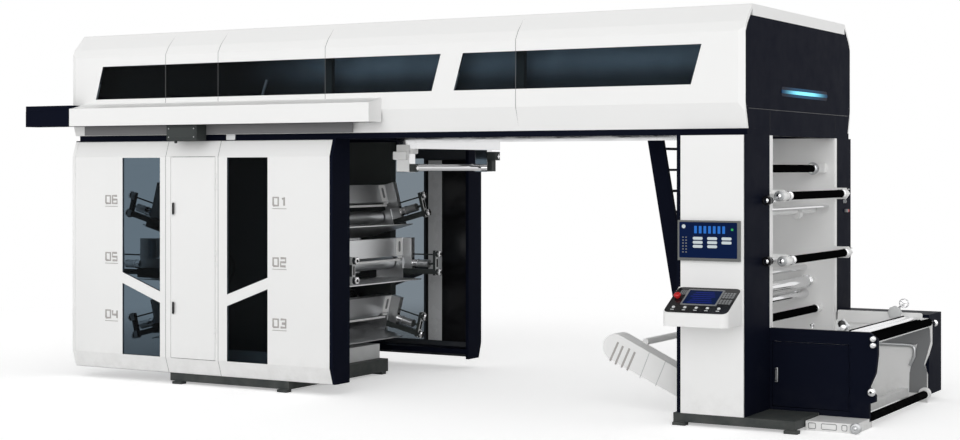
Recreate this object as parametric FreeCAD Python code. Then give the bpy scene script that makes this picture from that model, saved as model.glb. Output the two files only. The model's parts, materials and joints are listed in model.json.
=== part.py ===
# Central impression flexographic press: a print section with six decks round one large drum,
# a closed bridge over the gangway, and a reel tower with its operator desk and reel stand.
# Lengths are in millimetres. While it is drawn, x runs along the machine and is 0 at the
# tower's end face, y is 0 at the operator's side and grows away from it, and z is 0 on the floor.
import FreeCAD
import Part
import math
import os
from FreeCAD import Vector

# Overall sizes
MACHINE_DEPTH = 3200.0
BRIDGE_LENGTH = 8382.0
BRIDGE_UNDERSIDE = 2820.0
BEAM_DEPTH = 58.0
BEAM_WIDTH = 160.0
BEAM_TOP = BRIDGE_UNDERSIDE
BEAM_BOTTOM = BEAM_TOP - BEAM_DEPTH
SHEET = 30.0
RUN_GAP = 5.0
FIT_GAP = 0.3

# Bridge section, from below: fold, sill, windows, wall, shoulder, roof edge
FOLD_IN = 75.0
FOLD_TOP_OFFSET = 240.0
FOLD_TOP = BRIDGE_UNDERSIDE + FOLD_TOP_OFFSET
WINDOW_BOTTOM_OFFSET = 180.0
WINDOW_BOTTOM = FOLD_TOP + WINDOW_BOTTOM_OFFSET
WINDOW_HEIGHT = 380.0
WINDOW_TOP = WINDOW_BOTTOM + WINDOW_HEIGHT
WALL_TOP_OFFSET = 115.0
WALL_TOP = WINDOW_TOP + WALL_TOP_OFFSET
SHOULDER_IN = 56.0
SHOULDER_TOP_OFFSET = 93.0
SHOULDER_TOP = WALL_TOP + SHOULDER_TOP_OFFSET
ROOF_IN = 216.0
MACHINE_HEIGHT_OFFSET = 172.0
MACHINE_HEIGHT = SHOULDER_TOP + MACHINE_HEIGHT_OFFSET
CORNER_BEVEL_X = 65.0
CORNER_BEVEL_Y = 28.0
HEAD_DROP = 110.0
HEAD_TOP = MACHINE_HEIGHT - HEAD_DROP
HEAD_THICKNESS = 40.0

# Bridge windows, by their lower edge, with ends that lean towards the tower
WINDOW_LEAN = 110.0
LONG_WINDOW_START = 377.0
LONG_WINDOW = (LONG_WINDOW_START - BRIDGE_LENGTH, -3422.0)
SHORT_WINDOW = (-3158.0, -540.0)
GLASS = 8.0
GLASS_SET_BACK = 2.0

# Print housing
HOUSING_LEFT_OFFSET = 22.0
HOUSING_LEFT = HOUSING_LEFT_OFFSET - BRIDGE_LENGTH
HOUSING_LENGTH = 3699.0
HOUSING_RIGHT = HOUSING_LEFT + HOUSING_LENGTH
HOUSING_DEPTH = 326.0
HOUSING_BOTTOM = 120.0
HOUSING_FOLD_LOW = 300.0
HOUSING_TOP_OFFSET = 12.0
HOUSING_TOP = BEAM_BOTTOM - HOUSING_TOP_OFFSET
HOUSING_FOLD_HIGH_OFFSET = 180.0
HOUSING_FOLD_HIGH = HOUSING_TOP - HOUSING_FOLD_HIGH_OFFSET
HOUSING_FOLD_IN = 60.0
END_POST = 40.0
HOUSING_RAIL = 60.0
REAR_HOUSING_DEPTH = 311.0

# Service door between the housing windows, in a panel of its own
SURROUND_LEFT_OFFSET = 1403.0
SURROUND_LEFT = HOUSING_LEFT + SURROUND_LEFT_OFFSET
SURROUND_RIGHT_OFFSET = 2154.0
SURROUND_RIGHT = HOUSING_LEFT + SURROUND_RIGHT_OFFSET
DOOR_LEFT_OFFSET = 1480.0
DOOR_LEFT = HOUSING_LEFT + DOOR_LEFT_OFFSET
DOOR_RIGHT_OFFSET = 2110.0
DOOR_RIGHT = HOUSING_LEFT + DOOR_RIGHT_OFFSET
DOOR_BOTTOM = 300.0
DOOR_TOP_OFFSET = 2.0
DOOR_TOP = HOUSING_FOLD_HIGH - DOOR_TOP_OFFSET
HINGE_RADIUS = 6.0
HINGE_LENGTH = 60.0
HINGE_HEIGHTS = (0.12, 0.5, 0.88)
LATCH_HEIGHT = 135.0
LATCH_WIDTH = 26.0
LATCH_PROUD = 14.0
LATCH_LEVELS = (864.0, 1987.0)

# Housing windows: outer and inner edges, and the bar that slopes across each
HOUSING_WINDOW_WIDTH = 558.0
LEFT_PANE_OFFSET = 762.0
LEFT_PANE = HOUSING_LEFT + LEFT_PANE_OFFSET
RIGHT_PANE_OFFSET = 2279.0
RIGHT_PANE = HOUSING_LEFT + RIGHT_PANE_OFFSET
REAR_RIGHT_PANE_OFFSET = 2330.0
REAR_RIGHT_PANE = HOUSING_LEFT + REAR_RIGHT_PANE_OFFSET
LEFT_WINDOW = (LEFT_PANE, LEFT_PANE + HOUSING_WINDOW_WIDTH)
RIGHT_WINDOW = (RIGHT_PANE, RIGHT_PANE + HOUSING_WINDOW_WIDTH)
REAR_RIGHT_WINDOW = (REAR_RIGHT_PANE, REAR_RIGHT_PANE + HOUSING_WINDOW_WIDTH)
HOUSING_WINDOW_BOTTOM = 300.0
HOUSING_WINDOW_TOP_OFFSET = 8.0
HOUSING_WINDOW_TOP = HOUSING_FOLD_HIGH - HOUSING_WINDOW_TOP_OFFSET
BAR_OUTER = (1120.0, 1245.0)
BAR_INNER = (913.0, 1042.0)

# Press base and side frames
BASE_LEFT_OFFSET = 1420.0
BASE_LEFT = HOUSING_LEFT + BASE_LEFT_OFFSET
BASE_RIGHT_OFFSET = 3080.0
BASE_RIGHT = HOUSING_LEFT + BASE_RIGHT_OFFSET
BASE_FRONT = 62.0
BASE_BACK_OFFSET = 1150.0
BASE_BACK = MACHINE_DEPTH - BASE_BACK_OFFSET
REAR_BASE_LEFT_OFFSET = 940.0
REAR_BASE_LEFT = HOUSING_LEFT + REAR_BASE_LEFT_OFFSET
REAR_BASE_RIGHT_OFFSET = 2360.0
REAR_BASE_RIGHT = HOUSING_LEFT + REAR_BASE_RIGHT_OFFSET
REAR_BASE_BACK_OFFSET = 250.0
REAR_BASE_BACK = MACHINE_DEPTH - REAR_BASE_BACK_OFFSET
BASE_FOOT = 30.0
BASE_HEIGHT = 180.0
PEDESTAL_HEIGHT = 350.0
PEDESTAL_IN = 120.0
FOOT_LENGTH = 130.0
FOOT_WIDTH = 90.0
FRAME_THICKNESS = 120.0
NEAR_FRAME_FRONT = 620.0
FAR_FRAME_FRONT_OFFSET = 600.0
FAR_FRAME_FRONT = MACHINE_DEPTH - FAR_FRAME_FRONT_OFFSET
DRUM_X_OFFSET = 1745.0
DRUM_X = HOUSING_LEFT + DRUM_X_OFFSET
DRUM_Z = 1300.0
DRUM_RADIUS = 750.0
DRUM_SIDE_GAP = 30.0
DRUM_HUB_RADIUS = 110.0
DRUM_CAP_RADIUS = 176.0
DRUM_RIM = 70.0
DRUM_RECESS = 90.0
DRUM_SLEEVE_RADIUS = 187.0
HUB_CAP = 60.0
FRAME_LEFT_OFFSET = 960.0
FRAME_LEFT = HOUSING_LEFT + FRAME_LEFT_OFFSET
FRAME_RIGHT_OFFSET = 2760.0
FRAME_RIGHT = HOUSING_LEFT + FRAME_RIGHT_OFFSET
FRAME_TAPER = 250.0
FRAME_TAPER_RISE = 325.0
FAR_FOOT_LEFT_OFFSET = 200.0
FAR_FOOT_LEFT = REAR_BASE_LEFT + FAR_FOOT_LEFT_OFFSET
FAR_FOOT_RIGHT_OFFSET = 100.0
FAR_FOOT_RIGHT = REAR_BASE_RIGHT - FAR_FOOT_RIGHT_OFFSET

# Print decks, three each side of the drum: height, lean and reach of each pair
DECK_LEVELS = (1790.0, 1300.0, 745.0)
DECK_LEANS = (15.0, 0.0, -14.0)
CHAMBER_LIFTS = (145.0, 80.0, 30.0)
RIGHT_DECKS = (1, 2, 3)
LEFT_DECKS = (6, 5, 4)
PLATE_RADIUS = 105.0
ANILOX_RADIUS = 80.0
ROLLER_NIP = 15.0
ANILOX_STEP = PLATE_RADIUS + ANILOX_RADIUS + ROLLER_NIP
CHAMBER_HEIGHT = 220.0
CHAMBER_WIDTH = 70.0
DECK_END = 840.0
DECK_TRAVEL = 55.0
END_PLATE = 40.0
RAIL_WIDTH = 60.0
RAIL_START = 60.0
RAIL_LOW = -135.0
RAIL_HIGH = -75.0
ARM_START = -200.0
ARM_END = 440.0
ARM_EDGE = 25.0
BLOCK_HIGH = 60.0
CHAMBER_START = ANILOX_STEP + ANILOX_RADIUS + 30.0
BRACKET_START = CHAMBER_START + CHAMBER_WIDTH
BRACKET_END_OFFSET = 125.0
BRACKET_END = BRACKET_START + BRACKET_END_OFFSET
KNOB_HIGH = 110.0
KNOB_LOW = -110.0
STAR_KNOB = 40.0
KNOB_LENGTH = 45.0
TUBE_END = DECK_END - END_PLATE - DECK_TRAVEL - 10.0
TUBE_UP = -10.0
TUBE_RADIUS = 48.0
ROD_RADIUS = 14.0
GUIDE_UP = 100.0
GUIDE_RADIUS_SMALL = 9.0
TRAY_SHEET = 12.0
TRAY_LOW = -190.0
TRAY_REACH = 640.0
BLOCK_START = -60.0
ROLLER_STEP = 20.0
DECK_JOURNAL = 32.0

# Sides of the small bars, which are drawn as prisms: star knobs, rods, pins, tubes and rollers
KNOB_SIDES = 8
ROD_SIDES = 8
PIN_SIDES = 12
TUBE_SIDES = 20
ROLLER_SIDES = 32

# Hoist: the rail above the front housing, its cover and the trolley
HOIST_COVER_LEFT_OFFSET = 168.0
HOIST_COVER_LEFT = HOUSING_LEFT + HOIST_COVER_LEFT_OFFSET
HOIST_COVER_RIGHT_OFFSET = 4321.0
HOIST_COVER_RIGHT = HOUSING_LEFT + HOIST_COVER_RIGHT_OFFSET
HOIST_RAIL_LEFT_OFFSET = 541.0
HOIST_RAIL_LEFT = HOUSING_LEFT - HOIST_RAIL_LEFT_OFFSET
HOIST_FRONT = -242.0
HOIST_BOTTOM_OFFSET = 107.0
HOIST_BOTTOM = BRIDGE_UNDERSIDE + HOIST_BOTTOM_OFFSET
HOIST_COVER_TOP_OFFSET = 203.0
HOIST_COVER_TOP = HOIST_BOTTOM + HOIST_COVER_TOP_OFFSET
HOIST_SLOPE_TOP_OFFSET = 259.0
HOIST_SLOPE_TOP = HOIST_BOTTOM + HOIST_SLOPE_TOP_OFFSET
HOIST_SHEET = 12.0
RAIL_FRONT = -215.0
RAIL_BACK = -15.0
RAIL_TOP_OFFSET = 182.0
RAIL_TOP = HOIST_BOTTOM + RAIL_TOP_OFFSET
RAIL_END = 80.0
HOIST_BRACKETS = 6
HOIST_BRACKET_WIDTH = 60.0
HOIST_BRACKET_HEIGHT = 29.0
TROLLEY_X_OFFSET = 1790.0
TROLLEY_X = HOUSING_LEFT + TROLLEY_X_OFFSET
TROLLEY_LENGTH = 427.0
TROLLEY_BOTTOM_OFFSET = 175.0
TROLLEY_BOTTOM = HOIST_BOTTOM - TROLLEY_BOTTOM_OFFSET
TROLLEY_FRONT = -190.0
TROLLEY_BACK = -20.0
SLOT_WIDTH = 44.0
SLOT_DEPTH = 60.0
SLOT_LIP = 16.0
STEM_SHARE = 0.7
HOOK_RADIUS = 16.0
HOOK_LENGTH = 30.0

# Tower
TOWER_LEFT = -690.0
NEAR_CABINET_DEPTH = 670.0
SIDE_PLATE = 85.0
FAR_PLATE_FRONT_OFFSET = 560.0
FAR_PLATE_FRONT = MACHINE_DEPTH - FAR_PLATE_FRONT_OFFSET
FAR_POST_FRONT_OFFSET = 480.0
FAR_POST_FRONT = MACHINE_DEPTH - FAR_POST_FRONT_OFFSET
CABINET_BOTTOM = 115.0
COVER_LEFT = -645.0
COVER_RIGHT = -9.0
COVER_THICKNESS = 14.0
TOWER_BASE_LEFT = -720.0
TOWER_BASE_RIGHT = 490.0
TOWER_FOOT = 30.0
SCREEN_LEFT = -660.0
SCREEN_RIGHT = -35.0
SCREEN_BOTTOM = 1570.0
SCREEN_TOP = 1951.0
SCREEN_PROUD = 34.0
DESK_LEFT = -660.0
DESK_RIGHT = -20.0
DESK_REACH = 398.0
DESK_UNDERSIDE = 975.0
DESK_LIP = 1100.0
DESK_BACK = 1316.0
DESK_CORNERS = ((DESK_LEFT, 40.0), (DESK_RIGHT, 70.0))

# Tower rollers: name, x, z, radius
GUIDE_ROLLERS = (
    ("guide_roller_top", -200.0, BEAM_BOTTOM - 322.0, 40.0),
    ("guide_roller_upper", 120.0, BEAM_BOTTOM - 587.0, 40.0),
    ("guide_roller_middle", 150.0, 1550.0, 40.0),
    ("guide_roller_inner", -260.0, 1240.0, 60.0),
    ("guide_roller_lower", -170.0, 950.0, 40.0),
)
FIXED_ROLLERS = ((-330.0, 1380.0, 30.0), (-330.0, 1100.0, 48.0))
CROSS_TRAY = (-300.0, -60.0)
CROSS_TRAY_LEVEL = 2030.0
CROSS_TRAY_SHEET = 15.0
JOURNAL_RADIUS = 16.0
JOURNAL_LENGTH = 30.0
HUB_RADIUS = 45.0
COLLAR_RADIUS = 28.0
NEAR_HUB_LENGTH = 32.0
COLLAR_END = 88.0
FAR_HUB_LENGTH = 130.0
ARM_RISE = 60.0
ARM_PLATE = 30.0
ARM_BAR = 20.0
OUTER_KNOB = 70.0

# Reel stand beside the tower
STAND_RIGHT = 980.0
STAND_BOTTOM = 57.0
STAND_TOP = 900.0
STAND_PANEL = 60.0
STAND_PLATE = 25.0
STAND_PLATE_RIGHT = 1060.0
NEAR_PLATE_RIGHT = 900.0
FAR_STAND_EDGE = 1025.0
FAR_STAND_BOTTOM = 80.0
FAR_STAND_TOP = 915.0
STAND_DOOR_LEFT = 30.0
STAND_DOOR_RIGHT = 790.0
STAND_DOOR_BOTTOM = 150.0
STAND_DOOR_TOP = 770.0
STAND_DOOR_THICKNESS = 20.0
REEL_ROLLER_TOP = (1000.0, 840.0)
REEL_ROLLER_LOW = (960.0, 90.0)
REEL_ROLLER_RADIUS = 40.0
STAND_RAILS = ((120.0, 120.0), (700.0, 60.0))
STAND_RAIL_SIZE = 80.0
LOWER_FRAME_FRONT = 270.0
LOWER_FRAME_LEFT = TOWER_BASE_RIGHT + 10.0
LOWER_FRAME_RIGHT = 985.0
LOWER_FRAME_TOP = 90.0
HANDLE_INSET = 30.0
HANDLE_WIDTH = 30.0
HANDLE_LEVELS = (380.0, 525.0)
HANDLE_PROUD = 6.0

# Reel arm on the gangway side of the tower
REEL_ARM_TIP_X = -1546.0
REEL_ARM_TIP_Z = 652.0
REEL_ARM_ROOT_Z = 256.0
REEL_ARM_TIP_RADIUS = 134.0
REEL_ARM_ROOT_RADIUS = 138.0
REEL_ARM_FRONT_OFFSET = 220.0
REEL_ARM_FRONT = NEAR_CABINET_DEPTH - REEL_ARM_FRONT_OFFSET
REEL_ARM_THICKNESS = 210.0
REEL_BAR_X = -1308.0
REEL_BAR_Z = 700.0
REEL_BAR_RADIUS = 34.0

# Inspection unit hung under the bridge, and the web rail from it to the tower
UNIT_LEFT_OFFSET = 331.0
UNIT_LEFT = HOUSING_RIGHT + UNIT_LEFT_OFFSET
UNIT_LENGTH = 270.0
UNIT_RIGHT = UNIT_LEFT + UNIT_LENGTH
UNIT_FRONT = 760.0
UNIT_BACK_OFFSET = 600.0
UNIT_BACK = MACHINE_DEPTH - UNIT_BACK_OFFSET
UNIT_DROP = 420.0
UNIT_BEAM = 165.0
UNIT_BOX_WIDTH = 160.0
UNIT_BOX_DEPTH = 120.0
UNIT_BAR_RADIUS = 40.0
UNIT_BAR_LIFT = 50.0
WEB_RAIL_FRONT_OFFSET = 60.0
WEB_RAIL_FRONT = UNIT_FRONT - WEB_RAIL_FRONT_OFFSET
WEB_RAIL_BACK_OFFSET = 20.0
WEB_RAIL_BACK = UNIT_FRONT + WEB_RAIL_BACK_OFFSET
WEB_RAIL_BOTTOM_OFFSET = 98.0
WEB_RAIL_BOTTOM = BRIDGE_UNDERSIDE - WEB_RAIL_BOTTOM_OFFSET

# Web ladder under the rail, which leans towards the tower
LADDER_TOP_X = -1289.0
LADDER_FOOT_X = -988.0
LADDER_FOOT_Z = 1000.0
LADDER_ARM = 150.0
LADDER_WIDTH = 170.0
LADDER_PLATE = 40.0
LADDER_RUNGS = 8
RUNG_FIRST = 82.0
RUNG_PITCH = 213.0
RUNG_HEIGHT = 24.0
RUNG_INSET = 30.0

# The part's origin: the middle of its footprint, on the floor
MACHINE_LEFT = HOIST_RAIL_LEFT
MACHINE_RIGHT = STAND_PLATE_RIGHT
ORIGIN_X = (MACHINE_LEFT + MACHINE_RIGHT) / 2
ORIGIN_Y = (MACHINE_DEPTH - DESK_REACH) / 2


def block(x0, x1, y0, y1, z0, z1):
    """A box from its lowest to its highest corner."""
    return Part.makeBox(x1 - x0, y1 - y0, z1 - z0, Vector(x0, y0, z0))


def along_x(outline, x0, x1):
    """A (y, z) outline carried along x."""
    points = [Vector(x0, y, z) for y, z in outline]
    face = Part.Face(Part.makePolygon(points + points[:1]))
    return face.extrude(Vector(x1 - x0, 0, 0))


def along_y(outline, y0, y1):
    """An (x, z) outline carried along y."""
    points = [Vector(x, y0, z) for x, z in outline]
    face = Part.Face(Part.makePolygon(points + points[:1]))
    return face.extrude(Vector(0, y1 - y0, 0))


def along_z(outline, z0, z1):
    """An (x, y) outline carried along z."""
    points = [Vector(x, y, z0) for x, y in outline]
    face = Part.Face(Part.makePolygon(points + points[:1]))
    return face.extrude(Vector(0, 0, z1 - z0))


def bar_y(x, z, radius, y0, y1, sides=0):
    """A bar along y: round, or a prism when it is given a number of sides."""
    if not sides:
        return Part.makeCylinder(radius, y1 - y0, Vector(x, y0, z), Vector(0, 1, 0))
    outline = []
    for i in range(sides):
        turn = 2 * math.pi * (i + 0.5) / sides
        outline.append((x + radius * math.cos(turn), z + radius * math.sin(turn)))
    return along_y(outline, y0, y1)


def joined(shapes):
    """One solid from shapes that overlap or touch."""
    whole = shapes[0].multiFuse(shapes[1:])
    return whole.removeSplitter()


def save(name, *shapes):
    """Write one node, moved so that the part's origin is at the middle of its footprint."""
    shape = shapes[0] if len(shapes) == 1 else Part.makeCompound(list(shapes))
    shape = shape.copy()
    shape.translate(Vector(-ORIGIN_X, -ORIGIN_Y, 0))
    shape.exportStep("parts/" + name + ".step")


def inset(outline, distance):
    """A convex outline moved inwards by a distance, corner by corner."""
    count = len(outline)
    area = sum(outline[i - 1][0] * outline[i][1] - outline[i][0] * outline[i - 1][1]
               for i in range(count))
    side = 1.0 if area > 0 else -1.0
    moved = []
    for i in range(count):
        before = outline[i - 1]
        here = outline[i]
        after = outline[(i + 1) % count]
        a = math.atan2(here[1] - before[1], here[0] - before[0])
        b = math.atan2(after[1] - here[1], after[0] - here[0])
        normal_a = (-math.sin(a) * side, math.cos(a) * side)
        normal_b = (-math.sin(b) * side, math.cos(b) * side)
        share = distance / (1 + normal_a[0] * normal_b[0] + normal_a[1] * normal_b[1])
        moved.append((here[0] + (normal_a[0] + normal_b[0]) * share,
                      here[1] + (normal_a[1] + normal_b[1]) * share))
    return moved


def mirrored(outline):
    """The other half of a (y, z) outline, mirrored about the machine's middle plane."""
    return [(MACHINE_DEPTH - y, z) for y, z in reversed(outline)]


def bridge_outline():
    """The bridge's section, from the front fold over the roof to the rear fold."""
    front = [
        (FOLD_IN, BRIDGE_UNDERSIDE),
        (0.0, FOLD_TOP),
        (0.0, WALL_TOP),
        (SHOULDER_IN, SHOULDER_TOP),
        (ROOF_IN, MACHINE_HEIGHT),
    ]
    return front + mirrored(front)


def leaning_window(edges, y0, y1, shrink=0.0):
    """The prism of one bridge window."""
    left, right = edges
    lean = WINDOW_LEAN / (WINDOW_TOP - WINDOW_BOTTOM)
    bottom = WINDOW_BOTTOM + shrink
    top = WINDOW_TOP - shrink
    outline = [
        (left + shrink + lean * shrink, bottom),
        (right - shrink + lean * shrink, bottom),
        (right - shrink + WINDOW_LEAN - lean * shrink, top),
        (left + shrink + WINDOW_LEAN - lean * shrink, top),
    ]
    return along_y(outline, y0, y1)


def head_outline():
    """The navy head's section: inside the skin above, and down to the beams below."""
    inner = inset(bridge_outline(), SHEET)
    low_y, low_z = inner[0]
    low_y += (low_z - BRIDGE_UNDERSIDE) * FOLD_IN / (FOLD_TOP - BRIDGE_UNDERSIDE)
    below = [(low_y, BRIDGE_UNDERSIDE)]
    return below + inner[1:-1] + mirrored(below)


def build_bridge():
    """White skin, glass band, navy end and the ladder of beams under the bridge."""
    left = -BRIDGE_LENGTH
    outer = along_x(bridge_outline(), left, 0.0)
    inner = along_x(inset(bridge_outline(), SHEET), left + SHEET, 0.0)
    head = along_x(head_outline(), -HEAD_THICKNESS, 0.0)
    head = head.cut(block(-HEAD_THICKNESS, 0.0, 0.0, MACHINE_DEPTH, HEAD_TOP, MACHINE_HEIGHT))
    skin = outer.cut(inner).cut(head)
    for side in (0.0, MACHINE_DEPTH):
        inward = 1.0 if side == 0.0 else -1.0
        for end, reach in ((left, CORNER_BEVEL_X), (0.0, -CORNER_BEVEL_X)):
            bevel = along_z(
                [(end, side), (end + reach, side), (end, side + inward * CORNER_BEVEL_Y)],
                BEAM_TOP - SHEET, MACHINE_HEIGHT + SHEET,
            )
            skin = skin.cut(bevel)
    for window in (LONG_WINDOW, SHORT_WINDOW):
        skin = skin.cut(leaning_window(window, -SHEET, MACHINE_DEPTH + SHEET))
    low = BRIDGE_UNDERSIDE - SHEET
    high = MACHINE_HEIGHT + SHEET
    floor_top = BRIDGE_UNDERSIDE + SHEET
    front = skin.common(block(left, 0.0, 0.0, ROOF_IN, low, high))
    rear = skin.common(block(left, 0.0, MACHINE_DEPTH - ROOF_IN, MACHINE_DEPTH, low, high))
    middle = skin.common(block(left, 0.0, ROOF_IN, MACHINE_DEPTH - ROOF_IN, floor_top, high))
    floor = skin.common(block(left, 0.0, ROOF_IN, MACHINE_DEPTH - ROOF_IN, low, floor_top))
    roof_band = block(-HEAD_THICKNESS, 0.0, ROOF_IN, MACHINE_DEPTH - ROOF_IN,
                      HEAD_TOP, MACHINE_HEIGHT - SHEET)
    save("bridge_front", front)
    save("bridge_rear", rear)
    save("bridge_roof", joined([middle, roof_band]))
    save("bridge_floor", floor)
    panes = []
    for window in (LONG_WINDOW, SHORT_WINDOW):
        for y0 in (GLASS_SET_BACK, MACHINE_DEPTH - GLASS_SET_BACK - GLASS):
            panes.append(leaning_window(window, y0, y0 + GLASS))
    save("bridge_glass", *panes)
    save("tower_head", head)
    build_beams(left + CORNER_BEVEL_X)


def build_beams(left):
    """The beams under the bridge: all along the front, and only at both ends at the rear."""
    rear = MACHINE_DEPTH - FOLD_IN - BEAM_WIDTH
    far_frame_back = FAR_FRAME_FRONT + FRAME_THICKNESS
    spans = [
        (left, 0.0, FOLD_IN, FOLD_IN + BEAM_WIDTH),
        (left, HOUSING_RIGHT, rear, rear + BEAM_WIDTH),
        (TOWER_LEFT, 0.0, rear, rear + BEAM_WIDTH),
        (left, HOUSING_RIGHT, NEAR_FRAME_FRONT, NEAR_FRAME_FRONT + FRAME_THICKNESS),
        (left, HOUSING_RIGHT, FAR_FRAME_FRONT, far_frame_back),
    ]
    for x0 in (left, HOUSING_RIGHT - BEAM_WIDTH, TOWER_LEFT, -BEAM_WIDTH):
        spans.append((x0, x0 + BEAM_WIDTH, FOLD_IN, MACHINE_DEPTH - FOLD_IN))
    save("bridge_beams", joined([block(*span, BEAM_BOTTOM, BEAM_TOP) for span in spans]))


def housing_outline(y_face, inward, depth):
    """A housing's section from its lower fold to its upper one, closed at the back."""
    return [
        (y_face + inward * HOUSING_FOLD_IN, HOUSING_BOTTOM),
        (y_face, HOUSING_FOLD_LOW),
        (y_face, HOUSING_FOLD_HIGH),
        (y_face + inward * HOUSING_FOLD_IN, HOUSING_TOP),
        (y_face + inward * depth, HOUSING_TOP),
        (y_face + inward * depth, HOUSING_BOTTOM),
    ]


def housing_window(edges, y0, y1, outer_left, upper, shrink=0.0):
    """One pane above or below the sloping bar of a housing window."""
    left, right = edges
    left_bar, right_bar = (BAR_OUTER, BAR_INNER) if outer_left else (BAR_INNER, BAR_OUTER)
    if upper:
        outline = [
            (left + shrink, left_bar[1] + shrink),
            (right - shrink, right_bar[1] + shrink),
            (right - shrink, HOUSING_WINDOW_TOP - shrink),
            (left + shrink, HOUSING_WINDOW_TOP - shrink),
        ]
    else:
        outline = [
            (left + shrink, HOUSING_WINDOW_BOTTOM + shrink),
            (right - shrink, HOUSING_WINDOW_BOTTOM + shrink),
            (right - shrink, right_bar[0] - shrink),
            (left + shrink, left_bar[0] - shrink),
        ]
    return along_y(outline, y0, y1)


def build_housing(y_face, inward, depth, right_window):
    """One print housing: its folded skin with windows, the panes, and the frame behind it."""
    section = housing_outline(y_face, inward, depth)
    solid = along_x(section, HOUSING_LEFT + END_POST, HOUSING_RIGHT - END_POST)
    hollow = along_x(inset(section, SHEET), HOUSING_LEFT, HOUSING_RIGHT)
    fold_y = y_face + inward * HOUSING_FOLD_IN
    low_y, high_y = sorted((y_face, fold_y))
    skin = solid.cut(hollow).common(block(HOUSING_LEFT, HOUSING_RIGHT, low_y, high_y,
                                          HOUSING_BOTTOM, HOUSING_TOP))
    cut_low, cut_high = sorted((y_face - inward * SHEET, y_face + inward * 2 * SHEET))
    pane_low, pane_high = sorted((y_face + inward * GLASS_SET_BACK,
                                  y_face + inward * (GLASS_SET_BACK + GLASS)))
    panes = []
    for edges, outer_left in ((LEFT_WINDOW, True), (right_window, False)):
        for upper in (True, False):
            skin = skin.cut(housing_window(edges, cut_low, cut_high, outer_left, upper))
            panes.append(housing_window(edges, pane_low, pane_high, outer_left, upper))
    rail_low, rail_high = sorted((fold_y, y_face + inward * depth))
    frame = [
        along_x(section, HOUSING_LEFT, HOUSING_LEFT + END_POST),
        along_x(section, HOUSING_RIGHT - END_POST, HOUSING_RIGHT),
        block(HOUSING_LEFT, HOUSING_RIGHT, rail_low, rail_high, BASE_HEIGHT,
              BASE_HEIGHT + HOUSING_RAIL),
        block(HOUSING_LEFT, HOUSING_RIGHT, rail_low, rail_high, HOUSING_TOP - HOUSING_RAIL,
              BEAM_BOTTOM),
    ]
    return skin, panes, joined(frame)


def door_hinges(x, y, z0, z1, on_door):
    """Barrels of one door's hinges: the middle third is the door's, the outer ones the frame's."""
    pieces = []
    height = z1 - z0
    for share in HINGE_HEIGHTS:
        middle = z0 + share * height
        spans = [(-0.5, 0.5)] if on_door else [(-1.5, -0.5), (0.5, 1.5)]
        for low, high in spans:
            base = middle + low * HINGE_LENGTH + FIT_GAP
            top = middle + high * HINGE_LENGTH - FIT_GAP
            corners = []
            for i in range(KNOB_SIDES):
                turn = 2 * math.pi * (i + 0.5) / KNOB_SIDES
                corners.append((x + HINGE_RADIUS * math.cos(turn), y + HINGE_RADIUS * math.sin(turn)))
            pieces.append(along_z(corners, base, top))
            reach = -4 * HINGE_RADIUS if on_door else 4 * HINGE_RADIUS
            x0, x1 = sorted((x, x + reach))
            pieces.append(block(x0, x1, y + HINGE_RADIUS - 3.0, y + HINGE_RADIUS, base, top))
    return pieces


def build_housings():
    """Front housing with its service door, and the rear housing."""
    skin, panes, frame = build_housing(0.0, 1.0, HOUSING_DEPTH, RIGHT_WINDOW)
    slab = (-SHEET, MACHINE_DEPTH, 0.0, MACHINE_HEIGHT)
    left = skin.common(block(HOUSING_LEFT, SURROUND_LEFT, *slab))
    right = skin.common(block(SURROUND_RIGHT, HOUSING_RIGHT, *slab))
    surround = skin.common(block(SURROUND_LEFT, SURROUND_RIGHT, *slab))
    surround = surround.cut(block(DOOR_LEFT - RUN_GAP, DOOR_RIGHT + RUN_GAP, -SHEET, 2 * SHEET,
                                  DOOR_BOTTOM - RUN_GAP, DOOR_TOP + RUN_GAP))
    hinge_x = DOOR_RIGHT + RUN_GAP / 2
    hinge_y = -HINGE_RADIUS
    save("housing_front_panels", left, right)
    save("door_surround", joined([surround] + door_hinges(hinge_x, hinge_y, DOOR_BOTTOM,
                                                          DOOR_TOP, False)))
    save("housing_front_glass", *panes)
    save("housing_front_frame", frame)
    door = block(DOOR_LEFT, DOOR_RIGHT, 0.0, SHEET, DOOR_BOTTOM, DOOR_TOP)
    pieces = [door] + door_hinges(hinge_x, hinge_y, DOOR_BOTTOM, DOOR_TOP, True)
    for level in LATCH_LEVELS:
        x0 = DOOR_LEFT + LATCH_WIDTH / 2
        pieces.append(block(x0, x0 + LATCH_WIDTH, -LATCH_PROUD, 0.0,
                            level - LATCH_HEIGHT / 2, level + LATCH_HEIGHT / 2))
    save("service_door", joined(pieces))
    skin, panes, frame = build_housing(MACHINE_DEPTH, -1.0, REAR_HOUSING_DEPTH,
                                       REAR_RIGHT_WINDOW)
    save("housing_rear_panel", skin)
    save("housing_rear_glass", *panes)
    save("housing_rear_frame", frame)


def pad_foot(x, y, height):
    """A flat foot pad under a base."""
    return block(x - FOOT_LENGTH / 2, x + FOOT_LENGTH / 2, y - FOOT_WIDTH / 2,
                 y + FOOT_WIDTH / 2, 0.0, height)


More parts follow.
